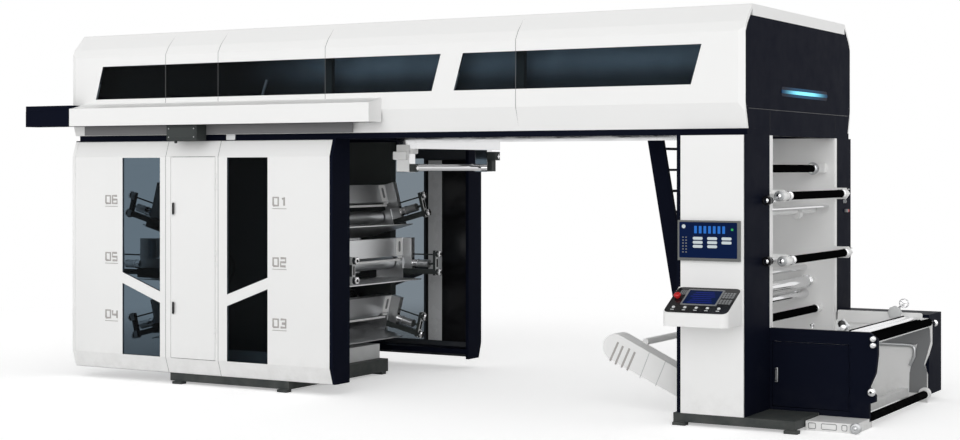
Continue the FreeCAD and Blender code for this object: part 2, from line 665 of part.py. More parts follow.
def build_press_base():
    """Front and rear plinths, pedestals and feet under the side frames."""
    front = block(BASE_LEFT, BASE_RIGHT, BASE_FRONT, BASE_BACK, BASE_FOOT, BASE_HEIGHT)
    rear = block(REAR_BASE_LEFT, REAR_BASE_RIGHT, BASE_BACK, REAR_BASE_BACK,
                 BASE_FOOT, BASE_HEIGHT)
    pieces = [front, rear]
    for x in (BASE_LEFT + FOOT_LENGTH, BASE_RIGHT - FOOT_LENGTH / 2):
        pieces.append(pad_foot(x, BASE_FRONT, BASE_FOOT))
        pieces.append(pad_foot(x, BASE_BACK - FOOT_WIDTH, BASE_FOOT))
    for x in (REAR_BASE_LEFT + FOOT_LENGTH, REAR_BASE_RIGHT - FOOT_LENGTH):
        pieces.append(pad_foot(x, REAR_BASE_BACK - FOOT_WIDTH / 2, BASE_FOOT))
    save("press_base", joined(pieces))
    near = block(BASE_LEFT + PEDESTAL_IN, BASE_RIGHT - PEDESTAL_IN, NEAR_FRAME_FRONT,
                 BASE_BACK, BASE_HEIGHT, PEDESTAL_HEIGHT)
    save("press_pedestal", near)


def frame_outline():
    """A side frame's face: wide round the drum, stepped in under the bridge."""
    low = PEDESTAL_HEIGHT
    return [
        (FRAME_LEFT + FRAME_TAPER, low),
        (FRAME_RIGHT - FRAME_TAPER, low),
        (FRAME_RIGHT, low + FRAME_TAPER_RISE),
        (FRAME_RIGHT, BEAM_BOTTOM),
        (FRAME_LEFT, BEAM_BOTTOM),
        (FRAME_LEFT, low + FRAME_TAPER_RISE),
    ]


def build_side_frames():
    """The two side frames with the drum's bearing hubs and the fixed rails of the decks."""
    for name, y0, inner, inward in (
        ("side_frame_near", NEAR_FRAME_FRONT, NEAR_FRAME_FRONT + FRAME_THICKNESS, 1.0),
        ("side_frame_far", FAR_FRAME_FRONT, FAR_FRAME_FRONT, -1.0),
    ):
        plate = along_y(frame_outline(), y0, y0 + FRAME_THICKNESS)
        outside = y0 - HUB_CAP if inward > 0 else y0 + FRAME_THICKNESS
        cap = bar_y(DRUM_X, DRUM_Z, DRUM_CAP_RADIUS, outside, outside + HUB_CAP, ROLLER_SIDES)
        pieces = [plate, cap]
        if inward < 0:
            pieces.append(block(FAR_FOOT_LEFT, FAR_FOOT_RIGHT, y0, y0 + FRAME_THICKNESS,
                                BASE_HEIGHT, PEDESTAL_HEIGHT))
        for side in (1, -1):
            for index in range(len(DECK_LEVELS)):
                pieces.append(deck_box(side, index, ARM_START, ARM_END, RAIL_LOW - ARM_EDGE,
                                       RAIL_HIGH + ARM_EDGE, y0, y0 + FRAME_THICKNESS))
                pieces += deck_rail(side, index, inner, inward)
        save(name, joined(pieces))


def build_drum():
    """The impression drum: a rim with webs and journals."""
    y0 = NEAR_FRAME_FRONT + FRAME_THICKNESS + DRUM_SIDE_GAP
    y1 = FAR_FRAME_FRONT - DRUM_SIDE_GAP
    rim = bar_y(DRUM_X, DRUM_Z, DRUM_RADIUS, y0, y1)
    for face in (y0, y1 - DRUM_RECESS):
        back = face + DRUM_RECESS
        ring = bar_y(DRUM_X, DRUM_Z, DRUM_RADIUS - DRUM_RIM, face, back, ROLLER_SIDES)
        ring = ring.cut(bar_y(DRUM_X, DRUM_Z, DRUM_SLEEVE_RADIUS, face, back, ROLLER_SIDES))
        rim = rim.cut(ring)
    start = NEAR_FRAME_FRONT + FRAME_THICKNESS + FIT_GAP
    stop = FAR_FRAME_FRONT - FIT_GAP
    journal = bar_y(DRUM_X, DRUM_Z, DRUM_HUB_RADIUS, start, stop, ROLLER_SIDES)
    save("impression_drum", joined([rim, journal]))


def deck_point(side, index, along, up):
    """A point of a deck: along runs away from the drum, up is square to it."""
    lean = math.radians(DECK_LEANS[index])
    x = along * math.cos(lean) - up * math.sin(lean)
    z = along * math.sin(lean) + up * math.cos(lean)
    level = DECK_LEVELS[index]
    start = math.sqrt(max((DRUM_RADIUS + PLATE_RADIUS + RUN_GAP) ** 2 - (level - DRUM_Z) ** 2, 0.0))
    return DRUM_X + side * (start + x), level + z


def deck_rod(side, index, along0, along1, up, y, radius, sides):
    """A prism with flat sides along a deck."""
    corners = []
    for i in range(sides):
        turn = 2 * math.pi * (i + 0.5) / sides
        x, z = deck_point(side, index, along0, up + radius * math.sin(turn))
        corners.append(Vector(x, y + radius * math.cos(turn), z))
    x0, z0 = deck_point(side, index, along0, up)
    x1, z1 = deck_point(side, index, along1, up)
    face = Part.Face(Part.makePolygon(corners + corners[:1]))
    return face.extrude(Vector(x1 - x0, 0, z1 - z0))


def deck_box(side, index, along0, along1, up0, up1, y0, y1):
    """A block square to a deck."""
    corners = [(along0, up0), (along1, up0), (along1, up1), (along0, up1)]
    outline = [deck_point(side, index, a, u) for a, u in corners]
    return along_y(outline, y0, y1)


def deck_rail(side, index, inner, inward):
    """One fixed rail with its end plate, star knobs, guide bar and piston rod, on a side frame."""
    y0, y1 = sorted((inner, inner + inward * RAIL_WIDTH))
    middle = inner + inward * (RAIL_WIDTH / 2 + RUN_GAP)
    rod_start = BRACKET_END + DECK_TRAVEL + 2 * RUN_GAP
    knob_end = DECK_END + KNOB_LENGTH
    return [
        deck_box(side, index, RAIL_START, DECK_END - END_PLATE, RAIL_LOW, RAIL_HIGH, y0, y1),
        deck_box(side, index, DECK_END - END_PLATE, DECK_END, KNOB_LOW - STAR_KNOB,
                 KNOB_HIGH + STAR_KNOB, y0, y1),
        deck_rod(side, index, DECK_END, knob_end, KNOB_HIGH, middle, STAR_KNOB, KNOB_SIDES),
        deck_rod(side, index, DECK_END, knob_end, KNOB_LOW, middle, STAR_KNOB, KNOB_SIDES),
        deck_rod(side, index, rod_start, DECK_END - END_PLATE, TUBE_UP, middle, ROD_RADIUS,
                 ROD_SIDES),
        deck_rod(side, index, BRACKET_START, DECK_END - END_PLATE, GUIDE_UP, middle,
                 GUIDE_RADIUS_SMALL, ROD_SIDES),
    ]


def deck_carriage(side, index, inner, inward):
    """One end of a moving deck: bearing block, bracket, cylinder tube and tray cheek."""
    y0, y1 = sorted((inner + inward * RUN_GAP, inner + inward * (RAIL_WIDTH + RUN_GAP)))
    middle = inner + inward * (RAIL_WIDTH / 2 + RUN_GAP)
    seat = RAIL_HIGH + FIT_GAP
    top = CHAMBER_LIFTS[index] + CHAMBER_HEIGHT
    bracket = deck_box(side, index, BRACKET_START, BRACKET_END, seat, top, y0, y1)
    guide_bore = deck_rod(side, index, BRACKET_START - RUN_GAP, BRACKET_END + RUN_GAP,
                          GUIDE_UP, middle, GUIDE_RADIUS_SMALL + 2 * FIT_GAP, ROD_SIDES)
    tube = deck_rod(side, index, BRACKET_END, TUBE_END, TUBE_UP, middle, TUBE_RADIUS, TUBE_SIDES)
    bore = deck_rod(side, index, BRACKET_END + RUN_GAP, TUBE_END + RUN_GAP, TUBE_UP, middle,
                    ROD_RADIUS + 2 * FIT_GAP, ROD_SIDES)
    cheek = inner + inward * (RAIL_WIDTH + RUN_GAP)
    c0, c1 = sorted((cheek, cheek + inward * TRAY_SHEET))
    return [
        deck_box(side, index, BLOCK_START, BRACKET_START, seat, BLOCK_HIGH, y0, y1),
        bracket.cut(guide_bore),
        tube.cut(bore),
        deck_box(side, index, 0.0, BRACKET_START, TRAY_LOW, BLOCK_HIGH, c0, c1),
        deck_box(side, index, CHAMBER_START, BRACKET_END, BLOCK_HIGH, top, c0, c1),
    ]


def build_decks():
    """Six sliding print decks: carriages, ink chamber, anilox roller, tray and plate cylinder."""
    inner_near = NEAR_FRAME_FRONT + FRAME_THICKNESS
    inner_far = FAR_FRAME_FRONT
    near_end = inner_near + RAIL_WIDTH + RUN_GAP + TRAY_SHEET
    far_end = inner_far - RAIL_WIDTH - RUN_GAP - TRAY_SHEET
    for side, numbers in ((1, RIGHT_DECKS), (-1, LEFT_DECKS)):
        for index, number in enumerate(numbers):
            lift = CHAMBER_LIFTS[index]
            pieces = deck_carriage(side, index, inner_near, 1.0)
            pieces += deck_carriage(side, index, inner_far, -1.0)
            x, z = deck_point(side, index, ANILOX_STEP, 0.0)
            body_ends = (near_end + ROLLER_STEP, far_end - ROLLER_STEP)
            pieces.append(bar_y(x, z, ANILOX_RADIUS, *body_ends, ROLLER_SIDES))
            pieces.append(bar_y(x, z, DECK_JOURNAL, near_end, far_end, PIN_SIDES))
            pieces.append(deck_box(side, index, CHAMBER_START, BRACKET_START, lift,
                                   lift + CHAMBER_HEIGHT, near_end, far_end))
            pieces.append(deck_box(side, index, 0.0, TRAY_REACH, TRAY_LOW - TRAY_SHEET, TRAY_LOW,
                                   near_end - TRAY_SHEET, far_end + TRAY_SHEET))
            save("print_deck_%d" % number, joined(pieces))
            x, z = deck_point(side, index, 0.0, 0.0)
            cylinder = bar_y(x, z, PLATE_RADIUS, *body_ends)
            journal = bar_y(x, z, DECK_JOURNAL, near_end + FIT_GAP, far_end - FIT_GAP, PIN_SIDES)
            save("plate_cylinder_%d" % number, joined([cylinder, journal]))


def build_hoist():
    """Cover, rail with its slot, and the trolley that runs in the slot."""
    cover_outline = [
        (HOIST_FRONT, HOIST_BOTTOM),
        (HOIST_FRONT, HOIST_COVER_TOP),
        (0.0, HOIST_SLOPE_TOP),
        (0.0, HOIST_SLOPE_TOP - HOIST_SHEET),
        (HOIST_FRONT + HOIST_SHEET, HOIST_COVER_TOP - HOIST_SHEET),
        (HOIST_FRONT + HOIST_SHEET, HOIST_BOTTOM),
    ]
    rail_right = HOIST_COVER_RIGHT - HOIST_SHEET
    closed_end = along_x(cover_outline[:3] + [(0.0, HOIST_BOTTOM)], rail_right, HOIST_COVER_RIGHT)
    cover = along_x(cover_outline, HOIST_COVER_LEFT, rail_right)
    save("hoist_cover", joined([cover, closed_end]))
    rail = block(HOIST_RAIL_LEFT, rail_right, RAIL_FRONT, RAIL_BACK, HOIST_BOTTOM, RAIL_TOP)
    middle = (RAIL_FRONT + RAIL_BACK) / 2
    slot_low = HOIST_BOTTOM
    slot_left = HOIST_RAIL_LEFT + RAIL_END
    slot = block(slot_left, rail_right + 1, middle - SLOT_WIDTH / 2, middle + SLOT_WIDTH / 2,
                 slot_low - 1, slot_low + SLOT_LIP)
    pocket = block(slot_left, rail_right + 1, middle - SLOT_WIDTH, middle + SLOT_WIDTH,
                   slot_low + SLOT_LIP, slot_low + SLOT_DEPTH)
    brackets = []
    span = rail_right - HOIST_COVER_LEFT
    for i in range(HOIST_BRACKETS):
        x0 = HOIST_COVER_LEFT + span * (i + 0.5) / HOIST_BRACKETS
        brackets.append(block(x0, x0 + HOIST_BRACKET_WIDTH, RAIL_BACK, 0.0,
                              RAIL_TOP - HOIST_BRACKET_HEIGHT, RAIL_TOP))
    rail = joined([rail.cut(slot).cut(pocket)] + brackets)
    save("hoist_rail", rail)
    half = TROLLEY_LENGTH / 2
    body = block(TROLLEY_X - half, TROLLEY_X + half, TROLLEY_FRONT, TROLLEY_BACK,
                 TROLLEY_BOTTOM, HOIST_BOTTOM - RUN_GAP)
    stem_half = SLOT_WIDTH / 2 - 4 * FIT_GAP
    stem_ends = (TROLLEY_X - half * STEM_SHARE, TROLLEY_X + half * STEM_SHARE)
    shoe_low = slot_low + SLOT_LIP + FIT_GAP
    stem = block(*stem_ends, middle - stem_half, middle + stem_half, HOIST_BOTTOM - RUN_GAP,
                 shoe_low + RUN_GAP)
    shoe = block(*stem_ends, middle - SLOT_WIDTH + RUN_GAP, middle + SLOT_WIDTH - RUN_GAP,
                 shoe_low, slot_low + SLOT_DEPTH - RUN_GAP)
    hook_foot = Vector(TROLLEY_X - half / 2, TROLLEY_FRONT + 2 * HOOK_RADIUS,
                       TROLLEY_BOTTOM - HOOK_LENGTH)
    knob = Part.makeCylinder(HOOK_RADIUS, HOOK_LENGTH, hook_foot)
    save("hoist_trolley", joined([body, stem, shoe, knob]))


def desk_body():
    """The sloping desk with rounded front corners."""
    outline = [
        (0.0, DESK_UNDERSIDE),
        (-DESK_REACH, DESK_UNDERSIDE),
        (-DESK_REACH, DESK_LIP),
        (0.0, DESK_BACK),
    ]
    body = along_x(outline, DESK_LEFT, DESK_RIGHT)
    plan = block(DESK_LEFT, DESK_RIGHT, -DESK_REACH, DESK_REACH, 0.0, DESK_BACK)
    for x, radius in DESK_CORNERS:
        for edge in plan.Edges:
            middle = edge.BoundBox.Center
            if abs(middle.x - x) < 1.0 and abs(middle.y + DESK_REACH) < 1.0:
                plan = plan.makeFillet(radius, [edge])
                break
    return body.common(plan)


def build_tower():
    """Cabinet, plates, far post, base, screen, desk and the rollers between the plates."""
    near = block(TOWER_LEFT, 0.0, COVER_THICKNESS, NEAR_CABINET_DEPTH, CABINET_BOTTOM, BEAM_BOTTOM)
    save("tower_cabinet", near)
    cover = block(COVER_LEFT, COVER_RIGHT, 0.0, COVER_THICKNESS, CABINET_BOTTOM,
                  BEAM_BOTTOM - RUN_GAP)
    save("column_cover", cover)
    far = block(TOWER_LEFT, 0.0, FAR_POST_FRONT, MACHINE_DEPTH, CABINET_BOTTOM, BEAM_BOTTOM)
    save("tower_far_post", far)
    plate_y = NEAR_CABINET_DEPTH
    plate_back = plate_y + SIDE_PLATE
    near_pieces = [block(TOWER_LEFT, 0.0, plate_y, plate_back, CABINET_BOTTOM, BEAM_BOTTOM)]
    far_pieces = [block(TOWER_LEFT, 0.0, FAR_PLATE_FRONT, FAR_POST_FRONT,
                        CABINET_BOTTOM, BEAM_BOTTOM)]
    hub_front = FAR_PLATE_FRONT - FAR_HUB_LENGTH
    for name, x, z, radius in GUIDE_ROLLERS:
        if x > 0:
            arm = [(-ARM_BAR, z - ARM_RISE), (x, z - ARM_RISE), (x + HUB_RADIUS, z),
                   (x, z + ARM_RISE), (-ARM_BAR, z + ARM_RISE)]
            near_pieces.append(along_y(arm, plate_back - ARM_PLATE, plate_back))
            far_pieces.append(along_y(arm, FAR_PLATE_FRONT, FAR_PLATE_FRONT + ARM_PLATE))
            near_pieces.append(bar_y(x, z, HUB_RADIUS, plate_y - OUTER_KNOB,
                                     plate_back - ARM_PLATE, TUBE_SIDES))
            near_pieces.append(block(0.0, x, plate_y, plate_back, z - ARM_BAR, z + ARM_BAR))
            far_pieces.append(block(0.0, x, FAR_PLATE_FRONT, FAR_POST_FRONT,
                                    z - ARM_BAR, z + ARM_BAR))
        near_pieces.append(bar_y(x, z, HUB_RADIUS, plate_back, plate_back + NEAR_HUB_LENGTH,
                                 TUBE_SIDES))
        near_pieces.append(bar_y(x, z, COLLAR_RADIUS, plate_back, plate_back + COLLAR_END,
                                 PIN_SIDES))
        far_pieces.append(bar_y(x, z, HUB_RADIUS, hub_front, FAR_PLATE_FRONT, TUBE_SIDES))
    save("tower_plate_near", joined(near_pieces))
    save("tower_plate_far", joined(far_pieces))
    bars = []
    for x, z, radius in FIXED_ROLLERS:
        bars.append(bar_y(x, z, radius, plate_back, FAR_PLATE_FRONT, TUBE_SIDES))
    bars.append(block(*CROSS_TRAY, plate_back, FAR_PLATE_FRONT, CROSS_TRAY_LEVEL,
                      CROSS_TRAY_LEVEL + CROSS_TRAY_SHEET))
    save("tower_cross_bars", *bars)
    pin_start = plate_back + COLLAR_END
    for name, x, z, radius in GUIDE_ROLLERS:
        body = bar_y(x, z, radius, pin_start + JOURNAL_LENGTH, hub_front - JOURNAL_LENGTH)
        journal = bar_y(x, z, JOURNAL_RADIUS, pin_start + FIT_GAP, hub_front - FIT_GAP, PIN_SIDES)
        save(name, joined([body, journal]))
    base = [
        block(TOWER_BASE_LEFT, TOWER_BASE_RIGHT, 0.0, NEAR_CABINET_DEPTH, TOWER_FOOT,
              CABINET_BOTTOM),
        block(TOWER_BASE_LEFT, 0.0, NEAR_CABINET_DEPTH, MACHINE_DEPTH, TOWER_FOOT, CABINET_BOTTOM),
    ]
    for x in (TOWER_BASE_LEFT + 70.0, TOWER_BASE_RIGHT - 30.0):
        base.append(pad_foot(x, 5.0, TOWER_FOOT))
    for x in (TOWER_BASE_LEFT + 70.0, -70.0):
        base.append(pad_foot(x, MACHINE_DEPTH - FOOT_WIDTH / 2, TOWER_FOOT))
    save("tower_base", joined(base))
    bezel = block(SCREEN_LEFT, SCREEN_RIGHT, -SCREEN_PROUD, 0.0, SCREEN_BOTTOM, SCREEN_TOP)
    save("control_screen", bezel)
    desk = desk_body()
    save("operator_desk", desk)


def near_stand_outline():
    """The near panel of the reel stand, with its wavy right edge."""
    return [
        (0.0, STAND_BOTTOM),
        (STAND_RIGHT, STAND_BOTTOM),
        (STAND_RIGHT, 225.0),
        (STAND_PLATE_RIGHT - 20.0, 250.0),
        (STAND_PLATE_RIGHT - 20.0, 310.0),
        (STAND_RIGHT, 380.0),
        (STAND_PLATE_RIGHT - 20.0, 520.0),
        (STAND_PLATE_RIGHT, 690.0),
        (STAND_PLATE_RIGHT, 840.0),
        (STAND_RIGHT, STAND_TOP),
        (0.0, STAND_TOP),
    ]


def far_stand_outline():
    """The pale far plate of the reel stand, with its wavy right edge."""
    top = STAND_TOP - 20.0
    return [
        (0.0, top - 60.0),
        (0.0, 60.0),
        (420.0, 25.0),
        (STAND_RIGHT, 0.0),
        (STAND_RIGHT, 290.0),
        (STAND_RIGHT - 30.0, 390.0),
        (FAR_STAND_EDGE - 32.0, 500.0),
        (FAR_STAND_EDGE, 610.0),
        (FAR_STAND_EDGE, top - 30.0),
        (STAND_RIGHT, top),
        (60.0, top),
    ]


def build_reel_stand():
    """Navy panels outside, pale plates inside, a door in the near panel and two rollers."""
    front = NEAR_CABINET_DEPTH
    back = front + STAND_PANEL
    panel = along_y(near_stand_outline(), front, back)
    panel = panel.cut(block(TOWER_BASE_LEFT, TOWER_BASE_RIGHT + RUN_GAP, front - 10, back + 10,
                            0.0, CABINET_BOTTOM))
    panel = panel.cut(block(STAND_DOOR_LEFT - RUN_GAP, STAND_DOOR_RIGHT + RUN_GAP, front - 10,
                            back + 10, STAND_DOOR_BOTTOM - RUN_GAP, STAND_DOOR_TOP + RUN_GAP))
    hinge_x = STAND_DOOR_RIGHT + RUN_GAP / 2
    hinge_y = front - HINGE_RADIUS
    frame_knuckles = door_hinges(hinge_x, hinge_y, STAND_DOOR_BOTTOM, STAND_DOOR_TOP, False)
    save("stand_near_panel", joined([panel] + frame_knuckles))
    door = block(STAND_DOOR_LEFT, STAND_DOOR_RIGHT, front, front + STAND_DOOR_THICKNESS,
                 STAND_DOOR_BOTTOM, STAND_DOOR_TOP)
    handle_left = STAND_DOOR_LEFT + HANDLE_INSET
    handle = block(handle_left, handle_left + HANDLE_WIDTH, front - HANDLE_PROUD, front,
                   *HANDLE_LEVELS)
    knuckles = door_hinges(hinge_x, hinge_y, STAND_DOOR_BOTTOM, STAND_DOOR_TOP, True)
    save("stand_door", joined([door, handle] + knuckles))
    inside = back + STAND_PLATE
    outside = FAR_POST_FRONT - STAND_PLATE
    near_plate = block(0.0, NEAR_PLATE_RIGHT, back, inside, STAND_BOTTOM, STAND_TOP - STAND_PANEL)
    far_plate = along_y(far_stand_outline(), outside, FAR_POST_FRONT)
    far = block(0.0, STAND_RIGHT + 10.0, FAR_POST_FRONT, MACHINE_DEPTH,
                FAR_STAND_BOTTOM, FAR_STAND_TOP)
    save("stand_far_box", far)
    rails = []
    for x, z in STAND_RAILS:
        rails.append(block(x, x + STAND_RAIL_SIZE, inside, outside, z, z + STAND_RAIL_SIZE))
    lower_ends = (LOWER_FRAME_LEFT, LOWER_FRAME_RIGHT, LOWER_FRAME_FRONT)
    rails.append(block(*lower_ends, inside, 0.0, STAND_BOTTOM))
    rails.append(block(*lower_ends, front, 0.0, LOWER_FRAME_TOP))
    save("stand_frame", joined([near_plate, far_plate] + rails))
    for name, (x, z) in (("reel_roller_top", REEL_ROLLER_TOP), ("reel_roller_low", REEL_ROLLER_LOW)):
        body = bar_y(x, z, REEL_ROLLER_RADIUS, inside + JOURNAL_LENGTH, outside - JOURNAL_LENGTH)
        journal = bar_y(x, z, JOURNAL_RADIUS, back + FIT_GAP, outside - FIT_GAP, PIN_SIDES)
        save(name, joined([body, journal]))


def reel_arm(y0, y1):
    """One covered reel arm: a long box with a round tip."""
    slope = math.atan2(REEL_ARM_ROOT_Z - REEL_ARM_TIP_Z, TOWER_LEFT - REEL_ARM_TIP_X)
    nx = -math.sin(slope)
    nz = math.cos(slope)
    outline = [
        (REEL_ARM_TIP_X + nx * REEL_ARM_TIP_RADIUS, REEL_ARM_TIP_Z + nz * REEL_ARM_TIP_RADIUS),
        (REEL_ARM_TIP_X - nx * REEL_ARM_TIP_RADIUS, REEL_ARM_TIP_Z - nz * REEL_ARM_TIP_RADIUS),
        (TOWER_LEFT, REEL_ARM_ROOT_Z - REEL_ARM_ROOT_RADIUS),
        (TOWER_LEFT, REEL_ARM_ROOT_Z + REEL_ARM_ROOT_RADIUS),
    ]
    tip = bar_y(REEL_ARM_TIP_X, REEL_ARM_TIP_Z, REEL_ARM_TIP_RADIUS, y0, y1)
    return joined([along_y(outline, y0, y1), tip])


def build_reel_arm():
    """The covered reel arms on the gangway side, with the bar between them."""
    near_back = REEL_ARM_FRONT + REEL_ARM_THICKNESS
    far_front = MACHINE_DEPTH - near_back
    near = reel_arm(REEL_ARM_FRONT, near_back)
    far = reel_arm(far_front, far_front + REEL_ARM_THICKNESS)
    bar = bar_y(REEL_BAR_X, REEL_BAR_Z, REEL_BAR_RADIUS, near_back, far_front, TUBE_SIDES)
    save("reel_arm", joined([near, far, bar]))


def build_ladder():
    """Two leaning side plates with flat rungs, from the bridge down to the tower."""
    slope = (LADDER_FOOT_X - LADDER_TOP_X) / (LADDER_FOOT_Z - WEB_RAIL_BOTTOM)
    near_y = NEAR_CABINET_DEPTH
    far_y = FAR_PLATE_FRONT
    pieces = []
    for y0, top in ((near_y, WEB_RAIL_BOTTOM), (far_y, BRIDGE_UNDERSIDE)):
        top_x = LADDER_TOP_X + slope * (top - WEB_RAIL_BOTTOM)
        arm_z = LADDER_FOOT_Z + LADDER_ARM
        outline = [
            (top_x, top),
            (top_x + LADDER_WIDTH, top),
            (LADDER_FOOT_X + slope * LADDER_ARM + LADDER_WIDTH, arm_z),
            (TOWER_LEFT, arm_z),
            (TOWER_LEFT, LADDER_FOOT_Z - LADDER_ARM),
            (LADDER_FOOT_X, LADDER_FOOT_Z),
        ]
        pieces.append(along_y(outline, y0, y0 + LADDER_PLATE))
    for i in range(LADDER_RUNGS):
        z = WEB_RAIL_BOTTOM - RUNG_FIRST - RUNG_PITCH * i
        x = LADDER_TOP_X + slope * (z - WEB_RAIL_BOTTOM)
        pieces.append(block(x + RUNG_INSET, x + LADDER_WIDTH - RUNG_INSET, near_y,
                            far_y + LADDER_PLATE, z - RUNG_HEIGHT / 2, z + RUNG_HEIGHT / 2))
    save("web_ladder", joined(pieces))


def build_inspection_unit():
    """Roller and boxes hung under the bridge, and the web rail that runs to the tower."""
    bottom = BRIDGE_UNDERSIDE - UNIT_DROP
    beam_low = BRIDGE_UNDERSIDE - UNIT_BEAM
    box_right = UNIT_LEFT + UNIT_BOX_WIDTH
    near_back = UNIT_FRONT + UNIT_BOX_DEPTH
    far_front = UNIT_BACK - UNIT_BOX_DEPTH
    pieces = [
        block(UNIT_LEFT, UNIT_RIGHT, UNIT_FRONT, UNIT_BACK, beam_low, BRIDGE_UNDERSIDE),
        block(UNIT_LEFT, box_right, UNIT_FRONT, near_back, bottom, beam_low),
        block(UNIT_LEFT, box_right, far_front, UNIT_BACK, bottom, beam_low),
        bar_y((UNIT_LEFT + box_right) / 2, bottom + UNIT_BAR_LIFT, UNIT_BAR_RADIUS, near_back,
              far_front, TUBE_SIDES),
        block(UNIT_RIGHT, TOWER_LEFT, WEB_RAIL_FRONT, WEB_RAIL_BACK, WEB_RAIL_BOTTOM,
              BRIDGE_UNDERSIDE),
    ]
    save("inspection_unit", joined(pieces))


os.makedirs("parts", exist_ok=True)
build_bridge()
build_housings()
build_press_base()
build_side_frames()
build_drum()
build_decks()
build_hoist()
build_tower()
build_reel_stand()
build_reel_arm()
build_ladder()
build_inspection_unit()
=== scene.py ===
# %% [markdown]
# # A central impression flexographic press, dressed for a studio picture
# The solids of the press come first, as a fixed frame: every panel, roller and deck already has
# its real size and place. What is added here is what a solid model leaves out: the finish of
# each surface, and the many small parts that a visitor to the machine would see. A new part is
# always placed from the frame, because a part that is placed by eye floats when seen from behind.

# %% Load the frame
import json
import math

import bpy
import numpy as np
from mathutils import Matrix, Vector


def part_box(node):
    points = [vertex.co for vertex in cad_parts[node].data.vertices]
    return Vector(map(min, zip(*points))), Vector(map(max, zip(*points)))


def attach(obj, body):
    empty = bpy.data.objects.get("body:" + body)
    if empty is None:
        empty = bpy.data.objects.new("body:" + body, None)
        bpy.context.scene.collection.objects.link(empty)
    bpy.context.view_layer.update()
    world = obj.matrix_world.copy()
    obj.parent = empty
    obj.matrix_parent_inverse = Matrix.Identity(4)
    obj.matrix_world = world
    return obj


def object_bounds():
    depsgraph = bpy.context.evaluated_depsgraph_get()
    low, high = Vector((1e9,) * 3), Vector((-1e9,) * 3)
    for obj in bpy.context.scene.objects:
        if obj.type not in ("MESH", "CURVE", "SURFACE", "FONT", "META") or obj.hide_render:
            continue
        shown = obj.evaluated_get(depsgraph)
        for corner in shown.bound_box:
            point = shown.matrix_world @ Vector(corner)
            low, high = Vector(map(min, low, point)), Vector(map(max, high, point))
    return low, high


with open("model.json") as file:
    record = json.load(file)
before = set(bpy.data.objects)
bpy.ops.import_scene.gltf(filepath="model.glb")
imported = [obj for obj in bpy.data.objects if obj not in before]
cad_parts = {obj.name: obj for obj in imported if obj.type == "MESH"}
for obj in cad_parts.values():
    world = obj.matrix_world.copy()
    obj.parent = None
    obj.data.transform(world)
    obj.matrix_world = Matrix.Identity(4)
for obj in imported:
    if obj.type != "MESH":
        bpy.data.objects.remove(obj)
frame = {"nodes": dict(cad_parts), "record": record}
solid_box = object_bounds()
print("solids:", len(frame["nodes"]), "box:", [tuple(round(c, 3) for c in p) for p in solid_box])

# %% [markdown]
# A drawing of a long machine is easier to read from one corner than from its middle. Here every
# place is written from the corner that the operator knows: x from the tower's end face, negative
# towards the print section, y from the operator's side, z from the floor, all in metres. `CORNER`
# is that corner in the frame, and `placed()` is the one function that adds it.

# %% The corner that places are written from
CORNER = np.array([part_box("tower_head")[1].x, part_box("bridge_front")[0].y, 0.0])
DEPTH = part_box("bridge_rear")[1].y - CORNER[1]
HEIGHT = solid_box[1].z


def placed(points):
    """Points written from the machine's corner, moved into the frame: p + CORNER."""
    return np.asarray(points, float) + CORNER


def corner_box(node):
    """Lowest and highest corner of a solid, written from the machine's corner."""
    low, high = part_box(node)
    return np.array(low) - CORNER, np.array(high) - CORNER


print("corner:", CORNER.round(3), "depth:", round(DEPTH, 3), "height:", round(HEIGHT, 3))

# %% [markdown]
# The camera stands level at 2.45 m, turned a little under 30 degrees from square to the front,
# with a lens of 64 mm. A level camera keeps the posts upright, and a small shift of the lens,
# not a tilt, brings the whole height of the press into the picture, as an architect's camera does.

# %% Camera
CAMERA_PLACE = (5.833, -15.147, 2.451)
CAMERA_TURN = 29.81
CAMERA_LENS = 64.44
CAMERA_SHIFT = -0.0547
CAMERA_SENSOR = 36.0

camera_data = bpy.data.cameras.new("camera")
camera_data.lens = CAMERA_LENS
camera_data.sensor_width = CAMERA_SENSOR
camera_data.shift_y = CAMERA_SHIFT
camera = bpy.data.objects.new("camera", camera_data)
camera.location = placed(CAMERA_PLACE)
camera.rotation_euler = (math.radians(90), 0, math.radians(CAMERA_TURN))
bpy.context.scene.collection.objects.link(camera)
bpy.context.scene.camera = camera
bpy.context.scene.view_settings.view_transform = "Standard"
print("camera at", [round(c, 3) for c in camera.location])

# %% [markdown]
# Materials and the world's light are both trees of shader nodes. A tree is built with few words
# when one helper makes a node and gives it its values, and the arithmetic, mixing and stretching
# that every finish needs have a helper each. Then a finish reads as a recipe.

# %% Helpers for shader nodes
PLAIN_WHITE = (1.0, 1.0, 1.0, 1.0)


def nodes_of(owner):
    """The emptied node tree of a material or a world."""
    owner.use_nodes = True
    owner.node_tree.nodes.clear()
    return owner.node_tree


def add(tree, kind, **settings):
    """One shader node. A setting is a property of the node, or else the socket of that name."""
    node = tree.nodes.new("ShaderNode" + kind)
    for name, value in settings.items():
        if hasattr(node, name):
            setattr(node, name, value)
            continue
        label = name.replace("_", " ").lower()
        feed(tree, value, next(s for s in node.inputs if s.name.lower() == label and s.enabled))
    return node


def feed(tree, value, socket):
    """Give a socket a plain value, or join it to the socket that holds the value."""
    if isinstance(value, bpy.types.NodeSocket):
        tree.links.new(value, socket)
    else:
        socket.default_value = value


def math_node(tree, operation, first, second=0.0, clamp=False):
    """The result of one arithmetic node."""
    node = tree.nodes.new("ShaderNodeMath")
    node.operation = operation
    node.use_clamp = clamp
    feed(tree, first, node.inputs[0])
    feed(tree, second, node.inputs[1])
    return node.outputs[0]


def blend_colour(tree, share, first, second, mode="MIX"):
    """Two colours mixed by a share from 0 to 1."""
    node = tree.nodes.new("ShaderNodeMix")
    node.data_type = "RGBA"
    node.blend_type = mode
    feed(tree, share, node.inputs[0])
    feed(tree, first, node.inputs[6])
    feed(tree, second, node.inputs[7])
    return node.outputs[2]


